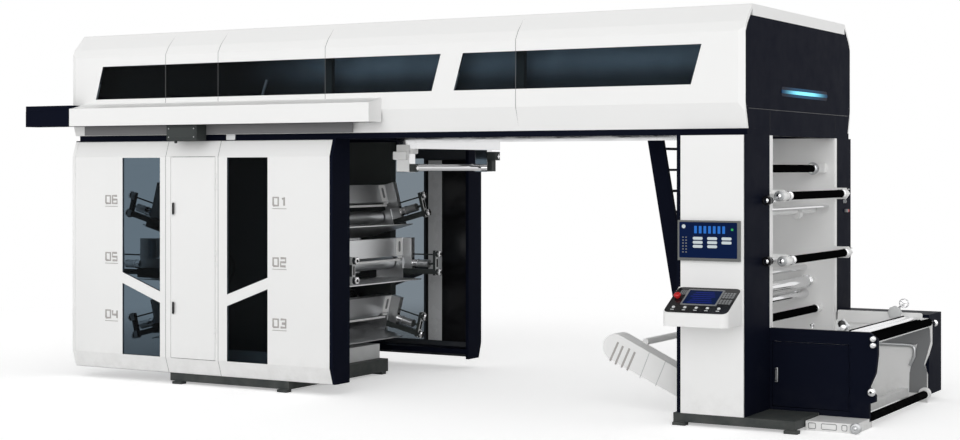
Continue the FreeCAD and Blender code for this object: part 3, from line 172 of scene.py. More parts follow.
def surface_of(tree, shader, kind="OutputMaterial"):
    """Give the shader to the output of a material or a world."""
    out = add(tree, kind)
    tree.links.new(shader.outputs[0], out.inputs["Surface"])


def stretch(tree, value, low, high, new_low=0.0, new_high=1.0, smooth=False):
    """A value's span from low to high carried onto another span, and held at its ends."""
    node = tree.nodes.new("ShaderNodeMapRange")
    node.interpolation_type = "SMOOTHSTEP" if smooth else "LINEAR"
    for socket, part in zip(node.inputs, (value, low, high, new_low, new_high)):
        feed(tree, part, socket)
    return node.outputs[0]


print("node helpers ready")

# %% [markdown]
# A white studio is a bright room with one large soft lamp in front. The room lights the object
# at a level at which a colour comes out about as it is written, a little less from the ceiling,
# so that the shoulder and the roof are a shade darker than the walls. The camera, polished metal
# and glass see the room as plain white, by the kind of ray that looks at it.

# %% Room
ROOM_LEVEL = 0.72
CEILING_LEVEL = 0.48
WALL_TOP, CEILING_START = 0.1, 0.8

world = bpy.data.worlds.new("studio")
bpy.context.scene.world = world
tree = nodes_of(world)
ray = add(tree, "LightPath")
seen = math_node(tree, "MAXIMUM", ray.outputs["Is Camera Ray"], ray.outputs["Is Glossy Ray"])
seen = math_node(tree, "MAXIMUM", seen, ray.outputs["Is Transmission Ray"])
place = add(tree, "TexCoord")
parts = add(tree, "SeparateXYZ", Vector=place.outputs["Generated"])
upward = stretch(tree, parts.outputs["Z"], WALL_TOP, CEILING_START, ROOM_LEVEL, CEILING_LEVEL,
                 smooth=True)
level = math_node(tree, "MAXIMUM", upward, seen)
room = add(tree, "Background", Color=PLAIN_WHITE, Strength=level)
surface_of(tree, room, "OutputWorld")
print("room level", ROOM_LEVEL, "ceiling level", CEILING_LEVEL)

# %% [markdown]
# The lamp is a broad sun from beside the camera. Being so wide it throws hardly a shadow, and
# coming from the front it makes walls brighter than the roof and the folds, which is what lets a
# white machine be read in a white room.

# %% Lamp
LAMP_LEVEL = 1.42
LAMP_WIDTH = 70.0
LAMP_RISE = 14.0
LAMP_SIDE = 16.0

lamp_data = bpy.data.lights.new("front_lamp", "SUN")
lamp_data.energy = LAMP_LEVEL
lamp_data.angle = math.radians(LAMP_WIDTH)
lamp = bpy.data.objects.new("front_lamp", lamp_data)
lamp.rotation_euler = (math.radians(90 - LAMP_RISE), 0, math.radians(LAMP_SIDE))
bpy.context.scene.collection.objects.link(lamp)
print("lamp level", LAMP_LEVEL, "width", LAMP_WIDTH, "degrees")

# %% [markdown]
# The floor has to carry the machine's soft shadow and still end in plain white. It is matt and
# pale near the machine, lifted a little for the camera alone, and fades into pure white further
# out, so no horizon shows.

# %% Floor
FLOOR_COLOUR = (0.92, 0.92, 0.92, 1.0)
FLOOR_REACH = 60.0
FLOOR_LIFT = 0.42
FADE_START = 7.0
FADE_END = 13.0

floor_mesh = bpy.data.meshes.new("studio_floor")
reach = np.array([(-1, -1, 0), (1, -1, 0), (1, 1, 0), (-1, 1, 0)], float) * FLOOR_REACH
floor_mesh.from_pydata(reach.tolist(), [], [(0, 1, 2, 3)])
floor = bpy.data.objects.new("studio_floor", floor_mesh)
bpy.context.scene.collection.objects.link(floor)
floor_paint = bpy.data.materials.new("studio_floor")
tree = nodes_of(floor_paint)
place = add(tree, "TexCoord")
distance = add(tree, "VectorMath", operation="LENGTH")
tree.links.new(place.outputs["Object"], distance.inputs[0])
far = stretch(tree, distance.outputs["Value"], FADE_START, FADE_END, smooth=True)
matt = add(tree, "BsdfPrincipled", Base_Color=FLOOR_COLOUR, Roughness=0.9,
           Specular_IOR_Level=0.0)
white = add(tree, "Emission", Color=PLAIN_WHITE, Strength=1.0)
ray = add(tree, "LightPath")
lift = math_node(tree, "MULTIPLY", ray.outputs["Is Camera Ray"], FLOOR_LIFT)
glow = add(tree, "Emission", Color=PLAIN_WHITE, Strength=lift)
near = add(tree, "AddShader")
tree.links.new(matt.outputs[0], near.inputs[0])
tree.links.new(glow.outputs[0], near.inputs[1])
mixed = add(tree, "MixShader")
tree.links.new(far, mixed.inputs[0])
tree.links.new(near.outputs[0], mixed.inputs[1])
tree.links.new(white.outputs[0], mixed.inputs[2])
surface_of(tree, mixed)
floor_mesh.materials.append(floor_paint)
print("floor fades from", FADE_START, "to", FADE_END, "m")

# %% [markdown]
# Paint, metal and plastic share three effects, so each is a node group with named inputs, built
# once and placed in many materials. `edge_wear` finds edges by asking the Bevel node for a
# rounded normal and comparing it with the flat one; where they differ there is an edge. It also
# hands the rounded normal on, so that sharp sheet-metal edges catch a line of light.

# %% Group of worn edges
def new_group(name, inputs, outputs):
    """An empty shader group with named inputs (name, kind, value) and outputs (name, kind)."""
    made = bpy.data.node_groups.new(name, "ShaderNodeTree")
    kinds = {"value": "NodeSocketFloat", "colour": "NodeSocketColor", "vector": "NodeSocketVector"}
    for label, kind, value in inputs:
        socket = made.interface.new_socket(label, in_out="INPUT", socket_type=kinds[kind])
        socket.default_value = value
    for label, kind in outputs:
        made.interface.new_socket(label, in_out="OUTPUT", socket_type=kinds[kind])
    return made, made.nodes.new("NodeGroupInput"), made.nodes.new("NodeGroupOutput")


def build_edge_wear():
    """Edge mask = 1 - rounded normal . flat normal, broken up by noise; rounded normal."""
    made, given, result = new_group(
        "edge_wear", [("Radius", "value", 0.004), ("Amount", "value", 0.5)],
        [("Edge", "value"), ("Normal", "vector")])
    rounded = add(made, "Bevel", samples=4, Radius=given.outputs["Radius"])
    flat = add(made, "NewGeometry")
    dot = add(made, "VectorMath", operation="DOT_PRODUCT")
    made.links.new(rounded.outputs["Normal"], dot.inputs[0])
    made.links.new(flat.outputs["Normal"], dot.inputs[1])
    turn = math_node(made, "SUBTRACT", 1.0, dot.outputs["Value"], clamp=True)
    place = add(made, "TexCoord")
    chips = add(made, "TexNoise", Vector=place.outputs["Object"], Scale=23.0, Detail=4.0)
    broken = stretch(made, chips.outputs["Fac"], 0.45, 0.7)
    mask = math_node(made, "MULTIPLY", stretch(made, turn, 0.06, 0.35), broken)
    made.links.new(math_node(made, "MULTIPLY", mask, given.outputs["Amount"]),
                   result.inputs["Edge"])
    made.links.new(rounded.outputs["Normal"], result.inputs["Normal"])
    return made


EDGE_WEAR = build_edge_wear()
print("group:", EDGE_WEAR.name)

# %% [markdown]
# Sprayed paint is never one flat colour. `spray_grain` lets it drift slowly over metres, soils it
# a little near the floor where shoes and carts pass, and adds the fine orange peel of the spray
# as a bump, since its height of a few hundredths of a millimetre is below any mesh.

# %% Group of sprayed paint
def build_spray_grain():
    """Paint: colour with slow drift and low soiling, roughness with drift, orange peel normal."""
    made, given, result = new_group(
        "spray_grain", [("Color", "colour", (1, 1, 1, 1)), ("Drift", "value", 0.03),
                        ("Roughness", "value", 0.4), ("Peel", "value", 0.1),
                        ("Soil", "value", 0.18), ("Normal", "vector", (0, 0, 0))],
        [("Color", "colour"), ("Roughness", "value"), ("Normal", "vector")])
    place = add(made, "TexCoord")
    slow = add(made, "TexNoise", Vector=place.outputs["Object"], Scale=0.9, Detail=3.0)
    smears = add(made, "TexNoise", Vector=place.outputs["Object"], Scale=6.0, Detail=6.0,
                 Roughness=0.6)
    share = math_node(made, "MULTIPLY", stretch(made, slow.outputs["Fac"], 0.35, 0.7),
                      given.outputs["Drift"])
    deeper = blend_colour(made, 1.0, given.outputs["Color"], (0.55, 0.56, 0.58, 1.0), "MULTIPLY")
    colour = blend_colour(made, share, given.outputs["Color"], deeper)
    parts = add(made, "SeparateXYZ", Vector=place.outputs["Object"])
    low = stretch(made, parts.outputs["Z"], 0.05, 0.5, 1.0, 0.0, smooth=True)
    soil = math_node(made, "MULTIPLY", low, stretch(made, smears.outputs["Fac"], 0.4, 0.75))
    soil = math_node(made, "MULTIPLY", soil, given.outputs["Soil"])
    colour = blend_colour(made, soil, colour, (0.25, 0.24, 0.22, 1.0))
    made.links.new(colour, result.inputs["Color"])
    rough = stretch(made, smears.outputs["Fac"], 0.3, 0.8, -0.05, 0.1)
    made.links.new(math_node(made, "ADD", given.outputs["Roughness"], rough, clamp=True),
                   result.inputs["Roughness"])
    peel = add(made, "TexNoise", Vector=place.outputs["Object"], Scale=420.0, Detail=2.0)
    bump = add(made, "Bump", Strength=given.outputs["Peel"], Distance=0.0004,
               Height=peel.outputs["Fac"], Normal=given.outputs["Normal"])
    made.links.new(bump.outputs["Normal"], result.inputs["Normal"])
    return made


SPRAY_GRAIN = build_spray_grain()
print("group:", SPRAY_GRAIN.name)

# %% [markdown]
# A lathe leaves fine rings. `turned_lines` stretches one noise far along one direction, so that
# it becomes lines, and uses it three times: as tone, as roughness and as a very small bump.

# %% Group of turned lines
def build_turned_lines():
    """Lathe rings: noise of one stretched direction, as roughness and as a fine bump."""
    made, given, result = new_group(
        "turned_lines", [("Stretch", "vector", (4.0, 900.0, 4.0)), ("Roughness", "value", 0.2),
                         ("Depth", "value", 0.1), ("Normal", "vector", (0, 0, 0))],
        [("Tone", "value"), ("Roughness", "value"), ("Normal", "vector")])
    place = add(made, "TexCoord")
    longer = add(made, "VectorMath", operation="MULTIPLY")
    made.links.new(place.outputs["Object"], longer.inputs[0])
    made.links.new(given.outputs["Stretch"], longer.inputs[1])
    rings = add(made, "TexNoise", Vector=longer.outputs["Vector"], Scale=1.0, Detail=3.0)
    made.links.new(rings.outputs["Fac"], result.inputs["Tone"])
    rough = stretch(made, rings.outputs["Fac"], 0.3, 0.7, -0.06, 0.08)
    made.links.new(math_node(made, "ADD", given.outputs["Roughness"], rough, clamp=True),
                   result.inputs["Roughness"])
    bump = add(made, "Bump", Strength=given.outputs["Depth"], Distance=0.0003,
               Height=rings.outputs["Fac"], Normal=given.outputs["Normal"])
    made.links.new(bump.outputs["Normal"], result.inputs["Normal"])
    return made


TURNED_LINES = build_turned_lines()


def use_group(tree, made, **values):
    """One placed group with its own values."""
    node = tree.nodes.new("ShaderNodeGroup")
    node.node_tree = made
    for name, value in values.items():
        feed(tree, value, node.inputs[name])
    return node


print("group:", TURNED_LINES.name)

# %% [markdown]
# Powder paint is the main finish. The white one is glossy enough for a soft shine, the navy one
# is deep, so it has little shine of its own or the white room would turn it grey. Worn edges show
# a lighter primer. Inside a sheet housing the colour is painted shade: where a face looks back
# towards the machine's middle line it takes a dark colour for the shade inside, which keeps the
# windows deep.

# %% Painted finishes
def painted(name, colour, roughness, shine, wear_colour, wear=0.35, drift=0.03, soil=0.18,
            painted_inside_shade=None):
    """Sprayed sheet metal, with optional painted shade: inner colour and the centre it looks at."""
    material = bpy.data.materials.new(name)
    tree = nodes_of(material)
    wear_node = use_group(tree, EDGE_WEAR, Radius=0.005, Amount=wear)
    base = colour + (1.0,)
    if painted_inside_shade:
        inner, centre = painted_inside_shade
        place = add(tree, "TexCoord")
        outward = add(tree, "VectorMath", operation="SUBTRACT")
        tree.links.new(place.outputs["Object"], outward.inputs[0])
        outward.inputs[1].default_value = centre
        flat = add(tree, "VectorMath", operation="MULTIPLY")
        tree.links.new(outward.outputs["Vector"], flat.inputs[0])
        flat.inputs[1].default_value = (0.0, 1.0, 1.0)
        faces = add(tree, "NewGeometry")
        dot = add(tree, "VectorMath", operation="DOT_PRODUCT")
        tree.links.new(flat.outputs["Vector"], dot.inputs[0])
        tree.links.new(faces.outputs["True Normal"], dot.inputs[1])
        # Painted shade: a face that looks back towards the centre takes the dark inside colour.
        inside_shade_share = stretch(tree, dot.outputs["Value"], -0.01, 0.0, 1.0, 0.0)
        base = blend_colour(tree, inside_shade_share, base, inner + (1.0,))
    grain = use_group(tree, SPRAY_GRAIN, Color=base, Drift=drift, Roughness=roughness,
                      Peel=0.12, Soil=soil, Normal=wear_node.outputs["Normal"])
    colour = blend_colour(tree, wear_node.outputs["Edge"], grain.outputs["Color"],
                          wear_colour + (1.0,))
    shader = add(tree, "BsdfPrincipled", Base_Color=colour, Roughness=grain.outputs["Roughness"],
                 Normal=grain.outputs["Normal"])
    shader.inputs["Specular IOR Level"].default_value = shine
    surface_of(tree, shader)
    return material


BRIDGE_MIDDLE = (0.0, CORNER[1] + DEPTH / 2, 3.4)
HOUSING_MIDDLE = (0.0, CORNER[1] + DEPTH / 2, 1.4)
WHITE = (0.875, 0.875, 0.868)
# Dark colour of the inner faces: painted shade for the inside of the bridge and the housing.
INSIDE_PAINTED_SHADE = (0.035, 0.040, 0.048)
white_paint = painted("white_paint", WHITE, 0.42, 0.35, (0.55, 0.55, 0.54))
bridge_paint = painted("bridge_paint", WHITE, 0.42, 0.35, (0.55, 0.55, 0.54),
                       painted_inside_shade=(INSIDE_PAINTED_SHADE, BRIDGE_MIDDLE))
housing_paint = painted("housing_paint", WHITE, 0.42, 0.35, (0.55, 0.55, 0.54),
                        painted_inside_shade=(INSIDE_PAINTED_SHADE, HOUSING_MIDDLE))
navy_paint = painted("navy_paint", (0.0056, 0.0070, 0.0145), 0.40, 0.006,
                     (0.03, 0.034, 0.045), wear=0.4, soil=0.02)
grey_paint = painted("grey_paint", (0.043, 0.049, 0.048), 0.5, 0.2, (0.16, 0.16, 0.16), wear=0.6,
                     drift=0.25)
pale_paint = painted("pale_paint", (0.62, 0.63, 0.63), 0.4, 0.4, (0.35, 0.35, 0.35))
screen_frame_grey = painted("screen_frame_grey", (0.14, 0.145, 0.14), 0.45, 0.3, (0.3, 0.3, 0.3))
black_plastic = painted("black_plastic", (0.008, 0.008, 0.009), 0.45, 0.25, (0.04, 0.04, 0.04))
print("paints ready")

# %% [markdown]
# Bare metal is a metallic shader with fine lathe rings or brush lines. A polished roller mirrors
# the white room and the dark parts beside it, which is what makes it read as chrome.

# %% Metal finishes
def bare_metal(name, colour, roughness, lines, depth=0.12):
    """Metal with fine lines; lines is how strongly the noise is stretched along x, y and z."""
    material = bpy.data.materials.new(name)
    tree = nodes_of(material)
    wear_node = use_group(tree, EDGE_WEAR, Radius=0.002, Amount=0.2)
    turned = use_group(tree, TURNED_LINES, Stretch=lines, Roughness=roughness, Depth=depth,
                       Normal=wear_node.outputs["Normal"])
    darker = tuple(c * 0.8 for c in colour) + (1.0,)
    tone = blend_colour(tree, turned.outputs["Tone"], darker, colour + (1.0,))
    brighter = blend_colour(tree, wear_node.outputs["Edge"], tone, (0.9, 0.9, 0.9, 1.0))
    shader = add(tree, "BsdfPrincipled", Base_Color=brighter, Metallic=1.0,
                 Roughness=turned.outputs["Roughness"], Normal=turned.outputs["Normal"])
    surface_of(tree, shader)
    return material


chrome = bare_metal("chrome", (0.86, 0.86, 0.87), 0.1, (3.0, 700.0, 3.0), depth=0.05)
satin_steel = bare_metal("satin_steel", (0.56, 0.57, 0.58), 0.32, (3.0, 500.0, 3.0))
aluminium = bare_metal("aluminium", (0.72, 0.73, 0.74), 0.34, (6.0, 6.0, 500.0))


def rubber(name, colour, roughness):
    """Soft covering of a roller: matt, with a powdery drift and a fine ground surface."""
    material = bpy.data.materials.new(name)
    tree = nodes_of(material)
    turned = use_group(tree, TURNED_LINES, Stretch=(8.0, 350.0, 8.0), Roughness=roughness,
                       Depth=0.2)
    grain = use_group(tree, SPRAY_GRAIN, Color=colour + (1.0,), Drift=0.5, Roughness=roughness,
                      Peel=0.2, Soil=0.03, Normal=turned.outputs["Normal"])
    shader = add(tree, "BsdfPrincipled", Base_Color=grain.outputs["Color"],
                 Roughness=grain.outputs["Roughness"], Normal=grain.outputs["Normal"])
    shader.inputs["Specular IOR Level"].default_value = 0.0
    surface_of(tree, shader)
    return material


black_rubber = rubber("black_rubber", (0.003, 0.003, 0.0033), 0.42)
print("metals ready")

# %% [markdown]
# The windows are thin tinted panes. A dense glass would bend and mirror too much, so the pane has
# a refraction just above air's, and the tint is chosen so that the white room behind two panes
# comes out blue-grey. Lamps shine through it: for shadow rays the pane lets light pass, which
# the Light Path node tells, so what stands behind the glass is lit.

# %% Glass
BRIDGE_TINT = (0.327, 0.383, 0.425, 1.0)
FRONT_TINT = (0.115, 0.155, 0.19, 1.0)
REAR_TINT = (0.19, 0.225, 0.255, 1.0)


def tinted_glass(name, tint, roughness):
    """Thin tinted pane whose shadow is clear."""
    material = bpy.data.materials.new(name)
    tree = nodes_of(material)
    place = add(tree, "TexCoord")
    streaks = add(tree, "TexNoise", Vector=place.outputs["Object"], Scale=2.5, Detail=3.0)
    rough = stretch(tree, streaks.outputs["Fac"], 0.3, 0.8, roughness, roughness + 0.03)
    ray = add(tree, "LightPath")
    solid = math_node(tree, "SUBTRACT", 1.0, ray.outputs["Is Shadow Ray"])
    shader = add(tree, "BsdfPrincipled", Base_Color=tint, Roughness=rough, IOR=1.12,
                 Alpha=solid)
    shader.inputs["Transmission Weight"].default_value = 1.0
    surface_of(tree, shader)
    return material


bridge_glass = tinted_glass("bridge_glass_tint", BRIDGE_TINT, 0.0)
front_glass = tinted_glass("front_glass_tint", FRONT_TINT, 0.0)
rear_glass = tinted_glass("rear_glass_tint", REAR_TINT, 0.0)
print("glass ready")

# %% [markdown]
# Each solid already names the finish that it has on the real press, so most of them are dressed
# by a short table from that name to a material, and the few that differ get their own line.

# %% Dress the solids
FINISHES = {
    "white_panel": white_paint,
    "navy_panel": navy_paint,
    "tinted_glass": bridge_glass,
    "dark_grey": grey_paint,
    "light_grey": pale_paint,
    "chrome": chrome,
    "black_rubber": black_rubber,
    "aluminium": aluminium,
    "screen": black_plastic,
}
OWN_FINISH = {
    "bridge_front": bridge_paint,
    "bridge_rear": bridge_paint,
    "bridge_roof": bridge_paint,
    "housing_front_panels": housing_paint,
    "door_surround": housing_paint,
    "service_door": housing_paint,
    "housing_rear_panel": housing_paint,
    "housing_front_glass": front_glass,
    "housing_rear_glass": rear_glass,
    "control_screen": screen_frame_grey,
}
for part in frame["record"]["subparts"]:
    solid = frame["nodes"][part["node"]]
    finish = OWN_FINISH.get(part["node"], FINISHES[part["material_slot"]])
    solid.data.materials.clear()
    solid.data.materials.append(finish)

# %% [markdown]
# Every part added from here on is a skin through rings. A ring is the outline of one cut through
# the part, and the rings follow one another along it, so a plate, a rod, a knob and a rounded
# block are one idea with other outlines. The small bevel of a real edge is one more ring at each
# end, drawn a little smaller; without it an edge catches no light and looks like paper.

# %% Skins through rings
def unit(vector):
    """The same direction with length one."""
    vector = np.asarray(vector, float)
    return vector / np.linalg.norm(vector)


def shell(rings, loop=False):
    """Skin through rings: quad i, j joins neighbours j, j + 1 on rings i, i + 1; caps at the ends.

    The faces are turned round if the volume they enclose, the sum of a . (b x c), is negative.
    """
    rings = np.asarray(rings, float)
    count, corners = rings.shape[:2]
    i = np.arange(count if loop else count - 1)[:, None]
    j = np.arange(corners)[None, :]
    here, ahead, side = i * corners, (i + 1) % count * corners, (j + 1) % corners
    quads = np.stack([here + j, here + side, ahead + side, ahead + j], axis=-1).reshape(-1, 4)
    points = rings.reshape(-1, 3)
    centre = points.mean(axis=0)
    a, b, c, d = (points[quads[:, k]] - centre for k in range(4))
    volume = (np.cross(b, c) * a).sum() + (np.cross(c, d) * a).sum()
    faces = quads.tolist()
    if not loop:
        last = (count - 1) * corners
        faces += [list(range(corners))[::-1], list(range(last, last + corners))]
        for ring, sign in ((rings[0] - centre, -1.0), (rings[-1] - centre, 1.0)):
            volume += sign * (np.cross(ring[1:-1], ring[2:]) @ ring[0]).sum()
    if volume < 0:
        faces = [face[::-1] for face in faces]
    return points, faces


def make_piece(name, skins, material, body="press", sharp=35.0):
    """One object from several skins, smooth across soft corners, that moves with its body."""
    points, faces, first = [], [], 0
    for skin_points, skin_faces in skins:
        points.append(skin_points)
        faces += [[corner + first for corner in face] for face in skin_faces]
        first += len(skin_points)
    mesh = bpy.data.meshes.new(name)
    mesh.from_pydata(placed(np.concatenate(points)).tolist(), [], faces)
    mesh.shade_smooth()
    mesh.set_sharp_from_angle(angle=math.radians(sharp))
    mesh.materials.append(material)
    piece = bpy.data.objects.new(name, mesh)
    bpy.context.scene.collection.objects.link(piece)
    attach(piece, body)
    return piece


print("skin and piece makers ready")

# %% [markdown]
# Four ways of laying rings cover nearly all the parts. `plate` carries a flat outline straight,
# `slab` is a rounded plate between two corners, `turned` spins a profile as a lathe does, with
# lobes for a star grip, and `tube` follows a path. The ends are closed, so every part is solid.

# %% Plates, slabs, turned parts and tubes
BEVEL = 0.0015
CORNER_STEPS = 3


def shrunk(outline, distance):
    """A flat outline moved inwards: p + distance . (n1 + n2) / (1 + n1 . n2), n inward normals."""
    outline = np.asarray(outline, float)
    ahead = np.roll(outline, -1, axis=0) - outline
    ahead = ahead / np.linalg.norm(ahead, axis=1, keepdims=True)
    inward = np.stack([-ahead[:, 1], ahead[:, 0]], axis=1)
    before = np.roll(inward, 1, axis=0)
    return outline + distance * (inward + before) / (1.0 + (inward * before).sum(axis=1))[:, None]


def plate(outline, origin, across, up, depth, edge=BEVEL):
    """An outline in across and up, carried by depth along across x up, its rims cut by edge."""
    across, up = unit(across), unit(up)
    out = np.cross(across, up)
    steps = [(edge, 0.0), (0.0, edge), (0.0, depth - edge), (edge, depth)]
    return shell([np.asarray(origin, float) + shrunk(outline, cut) @ np.array([across, up])
                  + out * rise for cut, rise in steps])


def rounded(width, height, corner):
    """A rectangle with round corners: corner centre + radius . (cos, sin), quarter by quarter."""
    turns = np.linspace(0.0, math.pi / 2, CORNER_STEPS + 1)
    arcs = []
    for quarter, (right, top) in enumerate(((1, 1), (-1, 1), (-1, -1), (1, -1))):
        angle = turns + quarter * math.pi / 2
        centre = np.array([right * (width / 2 - corner), top * (height / 2 - corner)])
        arcs.append(centre + corner * np.stack([np.cos(angle), np.sin(angle)], axis=1))
    return np.concatenate(arcs)


def circle(radius, around=24):
    """Points on a circle: radius . (cos, sin)."""
    angle = np.linspace(0.0, 2 * math.pi, around, endpoint=False)
    return radius * np.stack([np.cos(angle), np.sin(angle)], axis=1)


def slab(low, high, corner=0.003, edge=BEVEL):
    """A plate between two corners; its smallest side is its thickness."""
    low, high = np.asarray(low, float), np.asarray(high, float)
    size = high - low
    thin = int(np.argmin(size))
    across, up = np.eye(3)[(thin + 1) % 3], np.eye(3)[(thin + 2) % 3]
    origin = (low + high) / 2
    origin[thin] = low[thin]
    return plate(rounded(size @ across, size @ up, corner), origin, across, up, size[thin], edge)


def turned(profile, start, direction, around=24, lobes=0, wave=0.0):
    """(distance, radius) pairs spun about an axis; radius times 1 + wave . cos(lobes . turn)."""
    axis = unit(direction)
    first = unit(np.cross(axis, (0, 0, 1) if abs(axis[2]) < 0.9 else (1, 0, 0)))
    angle = np.linspace(0.0, 2 * math.pi, around, endpoint=False)
    ring = np.outer(np.cos(angle), first) + np.outer(np.sin(angle), np.cross(axis, first))
    ring = ring * (1.0 + wave * np.cos(lobes * angle))[:, None]
    profile = np.asarray(profile, float)
    return shell(np.asarray(start, float) + profile[:, 0, None, None] * axis
                 + profile[:, 1, None, None] * ring)


def tube(path, radius, flat=None, around=10, face=(0, -1, 0)):
    """A bar along a path, each ring square to it: radius wide, flat thick towards face."""
    path, face = np.asarray(path, float), np.asarray(face, float)
    ahead = np.gradient(path, axis=0)
    ahead = ahead / np.linalg.norm(ahead, axis=1, keepdims=True)
    toward = face - (ahead @ face)[:, None] * ahead
    toward = toward / np.linalg.norm(toward, axis=1, keepdims=True)
    side = np.cross(ahead, toward)
    angle = np.linspace(0.0, 2 * math.pi, around, endpoint=False)[None, :, None]
    return shell(path[:, None] + radius * np.cos(angle) * side[:, None]
                 + (flat or radius) * np.sin(angle) * toward[:, None])


print("rounded outline:", len(rounded(1.0, 1.0, 0.1)), "points")

# %% [markdown]
# A few more finishes are needed for small parts: grey lines, moulded plastics, and surfaces that
# shine by themselves. The glow fades softly at the ends of the light bar, and a display has fine
# rows, so neither is one flat colour.

# %% Finishes of the small parts
seam_grey = painted("seam_grey", (0.22, 0.22, 0.225), 0.6, 0.2, (0.3, 0.3, 0.3))
number_grey = painted("number_grey", (0.45, 0.43, 0.415), 0.5, 0.3, (0.6, 0.6, 0.6), wear=0.1)
bezel_grey = painted("bezel_grey", (0.20, 0.205, 0.21), 0.45, 0.35, (0.5, 0.5, 0.5))
gloss_black = painted("gloss_black", (0.006, 0.006, 0.007), 0.2, 0.4, (0.05, 0.05, 0.05), soil=0.0)
red_plastic = painted("red_plastic", (0.56, 0.012, 0.012), 0.3, 0.5, (0.6, 0.1, 0.1), wear=0.1)
key_white = painted("key_white", (0.70, 0.72, 0.72), 0.4, 0.4, (0.8, 0.8, 0.8), wear=0.1)
polished = bare_metal("polished", (0.93, 0.93, 0.94), 0.16, (60.0, 60.0, 60.0), depth=0.03)


def glowing(name, colour, strength, face_colour, rows=0.0, soft=None):
    """A lit surface. rows: display lines per metre of height; soft: (centre y, half length)."""
    material = bpy.data.materials.new(name)
    tree = nodes_of(material)
    place = add(tree, "TexCoord")
    parts = add(tree, "SeparateXYZ", Vector=place.outputs["Object"])
    light = colour + (1.0,)
    if rows:
        wave = math_node(tree, "SINE", math_node(tree, "MULTIPLY", parts.outputs["Z"],
                                                 rows * 2 * math.pi))
        light = blend_colour(tree, stretch(tree, wave, -1.0, 1.0, 0.0, 0.18), light,
                             face_colour + (1.0,))
    if soft:
        centre, half = soft
        reach = math_node(tree, "ABSOLUTE", math_node(tree, "SUBTRACT", parts.outputs["Y"], centre))
        share = stretch(tree, reach, half * 0.15, half, 0.0, 1.0, smooth=True)
        light = blend_colour(tree, share, light, face_colour + (1.0,))
    shader = add(tree, "BsdfPrincipled", Base_Color=face_colour + (1.0,), Roughness=0.3,
                 Emission_Color=light)
    shader.inputs["Emission Strength"].default_value = strength
    shader.inputs["Specular IOR Level"].default_value = 0.02
    surface_of(tree, shader)
    return material


screen_navy = glowing("screen_navy", (0.0015, 0.008, 0.042), 1.0, (0.002, 0.004, 0.012), rows=220.0)
screen_blue = glowing("screen_blue", (0.020, 0.16, 0.58), 1.0, (0.01, 0.02, 0.05), rows=220.0)
screen_dim = glowing("screen_dim", (0.010, 0.018, 0.16), 1.0, (0.002, 0.003, 0.02), rows=220.0)
screen_pale = glowing("screen_pale", (0.60, 0.66, 0.66), 1.0, (0.02, 0.03, 0.05), rows=220.0)
lamp_green = glowing("lamp_green", (0.04, 0.42, 0.10), 1.0, (0.01, 0.05, 0.02), rows=220.0)
print("small finishes ready")

# %% [markdown]
# The bridge's sheet-metal skin is made in bays, and where two bays meet a fine seam runs from the
# lower edge over the glass and the shoulder to the roof. A seam is a very flat dark strip that
# lies on the skin: a real gap of a millimetre would be lost at this distance, and this one isn't.

# %% Seams of the bridge and the housing
BRIDGE_SEAMS = (-6.957, -6.206, -4.757, -2.434)
BRIDGE_CUT = np.array([(0.075, 2.822), (0.0, 3.06), (0.0, 3.735), (0.056, 3.828),
                       (0.215, HEIGHT - 0.002)])
HOUSING_SEAMS = (-6.957, -6.206)
HOUSING_CUT = np.array([(0.06, 2.75), (0.0, 2.57), (0.0, 0.30), (0.06, 0.12)])
SEAM_HALF = 0.0028
SEAM_THICK = 0.0005
REAR_SINK = 0.0004


def seam(x, cut, rear=False):
    """A flat strip on the line x along a cut of (y, z) points, at the front or mirrored behind."""
    y = DEPTH - REAR_SINK - cut[:, 0] if rear else cut[:, 0]
    path = np.stack([np.full(len(cut), x), y, cut[:, 1]], axis=1)
    return tube(path, SEAM_HALF, SEAM_THICK, around=4, face=(0, 1 if rear else -1, 0.2))


seams = [seam(x, BRIDGE_CUT[:-1], rear) for x in BRIDGE_SEAMS for rear in (False, True)]
seams += [seam(x, BRIDGE_CUT[3:], rear) for x in BRIDGE_SEAMS for rear in (False, True)]
make_piece("bridge_seams", seams, seam_grey)
seams = [seam(x, HOUSING_CUT, rear) for x in HOUSING_SEAMS for rear in (False, True)]
make_piece("housing_seams", seams, seam_grey)
print("seams:", len(BRIDGE_SEAMS), "on the bridge,", len(HOUSING_SEAMS), "on the housing")

# %% [markdown]
# At the housing's left end the white sheet laps over the navy post, so no dark line shows from
# the front. The lap is a thin white sheet bent like the housing's own outline.

# %% White laps at the housing's end
frame_left = corner_box("housing_front_frame")[0][0]
panel_left = corner_box("housing_front_panels")[0][0]
TRIM_THICK = 0.002
trims = []
for mirror in (False, True):
    y = DEPTH - HOUSING_CUT[:, 0] - TRIM_THICK if mirror else HOUSING_CUT[:, 0]
    flat = np.column_stack([y, HOUSING_CUT[:, 1]])
    rings = []
    for shift, x in ((0.0, frame_left - TRIM_THICK), (-TRIM_THICK, frame_left - TRIM_THICK),
                     (-TRIM_THICK, panel_left), (0.0, panel_left)):
        rings.append(np.column_stack([np.full(4, x), flat[:, 0] + (shift + TRIM_THICK if mirror
                                                                    else shift), flat[:, 1]]))
    trims.append(shell(np.array(rings).swapaxes(0, 1)))
make_piece("housing_end_trims", trims, white_paint)
print("laps:", len(trims))

# %% [markdown]
# Behind the black glass the bridge is lined with dark board, painted shade for its dark inside, so
# a visitor sees hardly anything inside: only a painted sheen that grows towards the tower and up
# the glass, where daylight falls in. The lining is two thin boards with that sheen painted as a
# slow change of colour along the bridge, and the posts of the frame stand in front of it.

# %% Lining and posts behind the glass
BRIDGE_LEFT, BRIDGE_RIGHT = corner_box("bridge_front")[0][0], -0.06
LINING_Y = 0.285
LINING_THICK = 0.012
POSTS = (-4.785, -2.434)


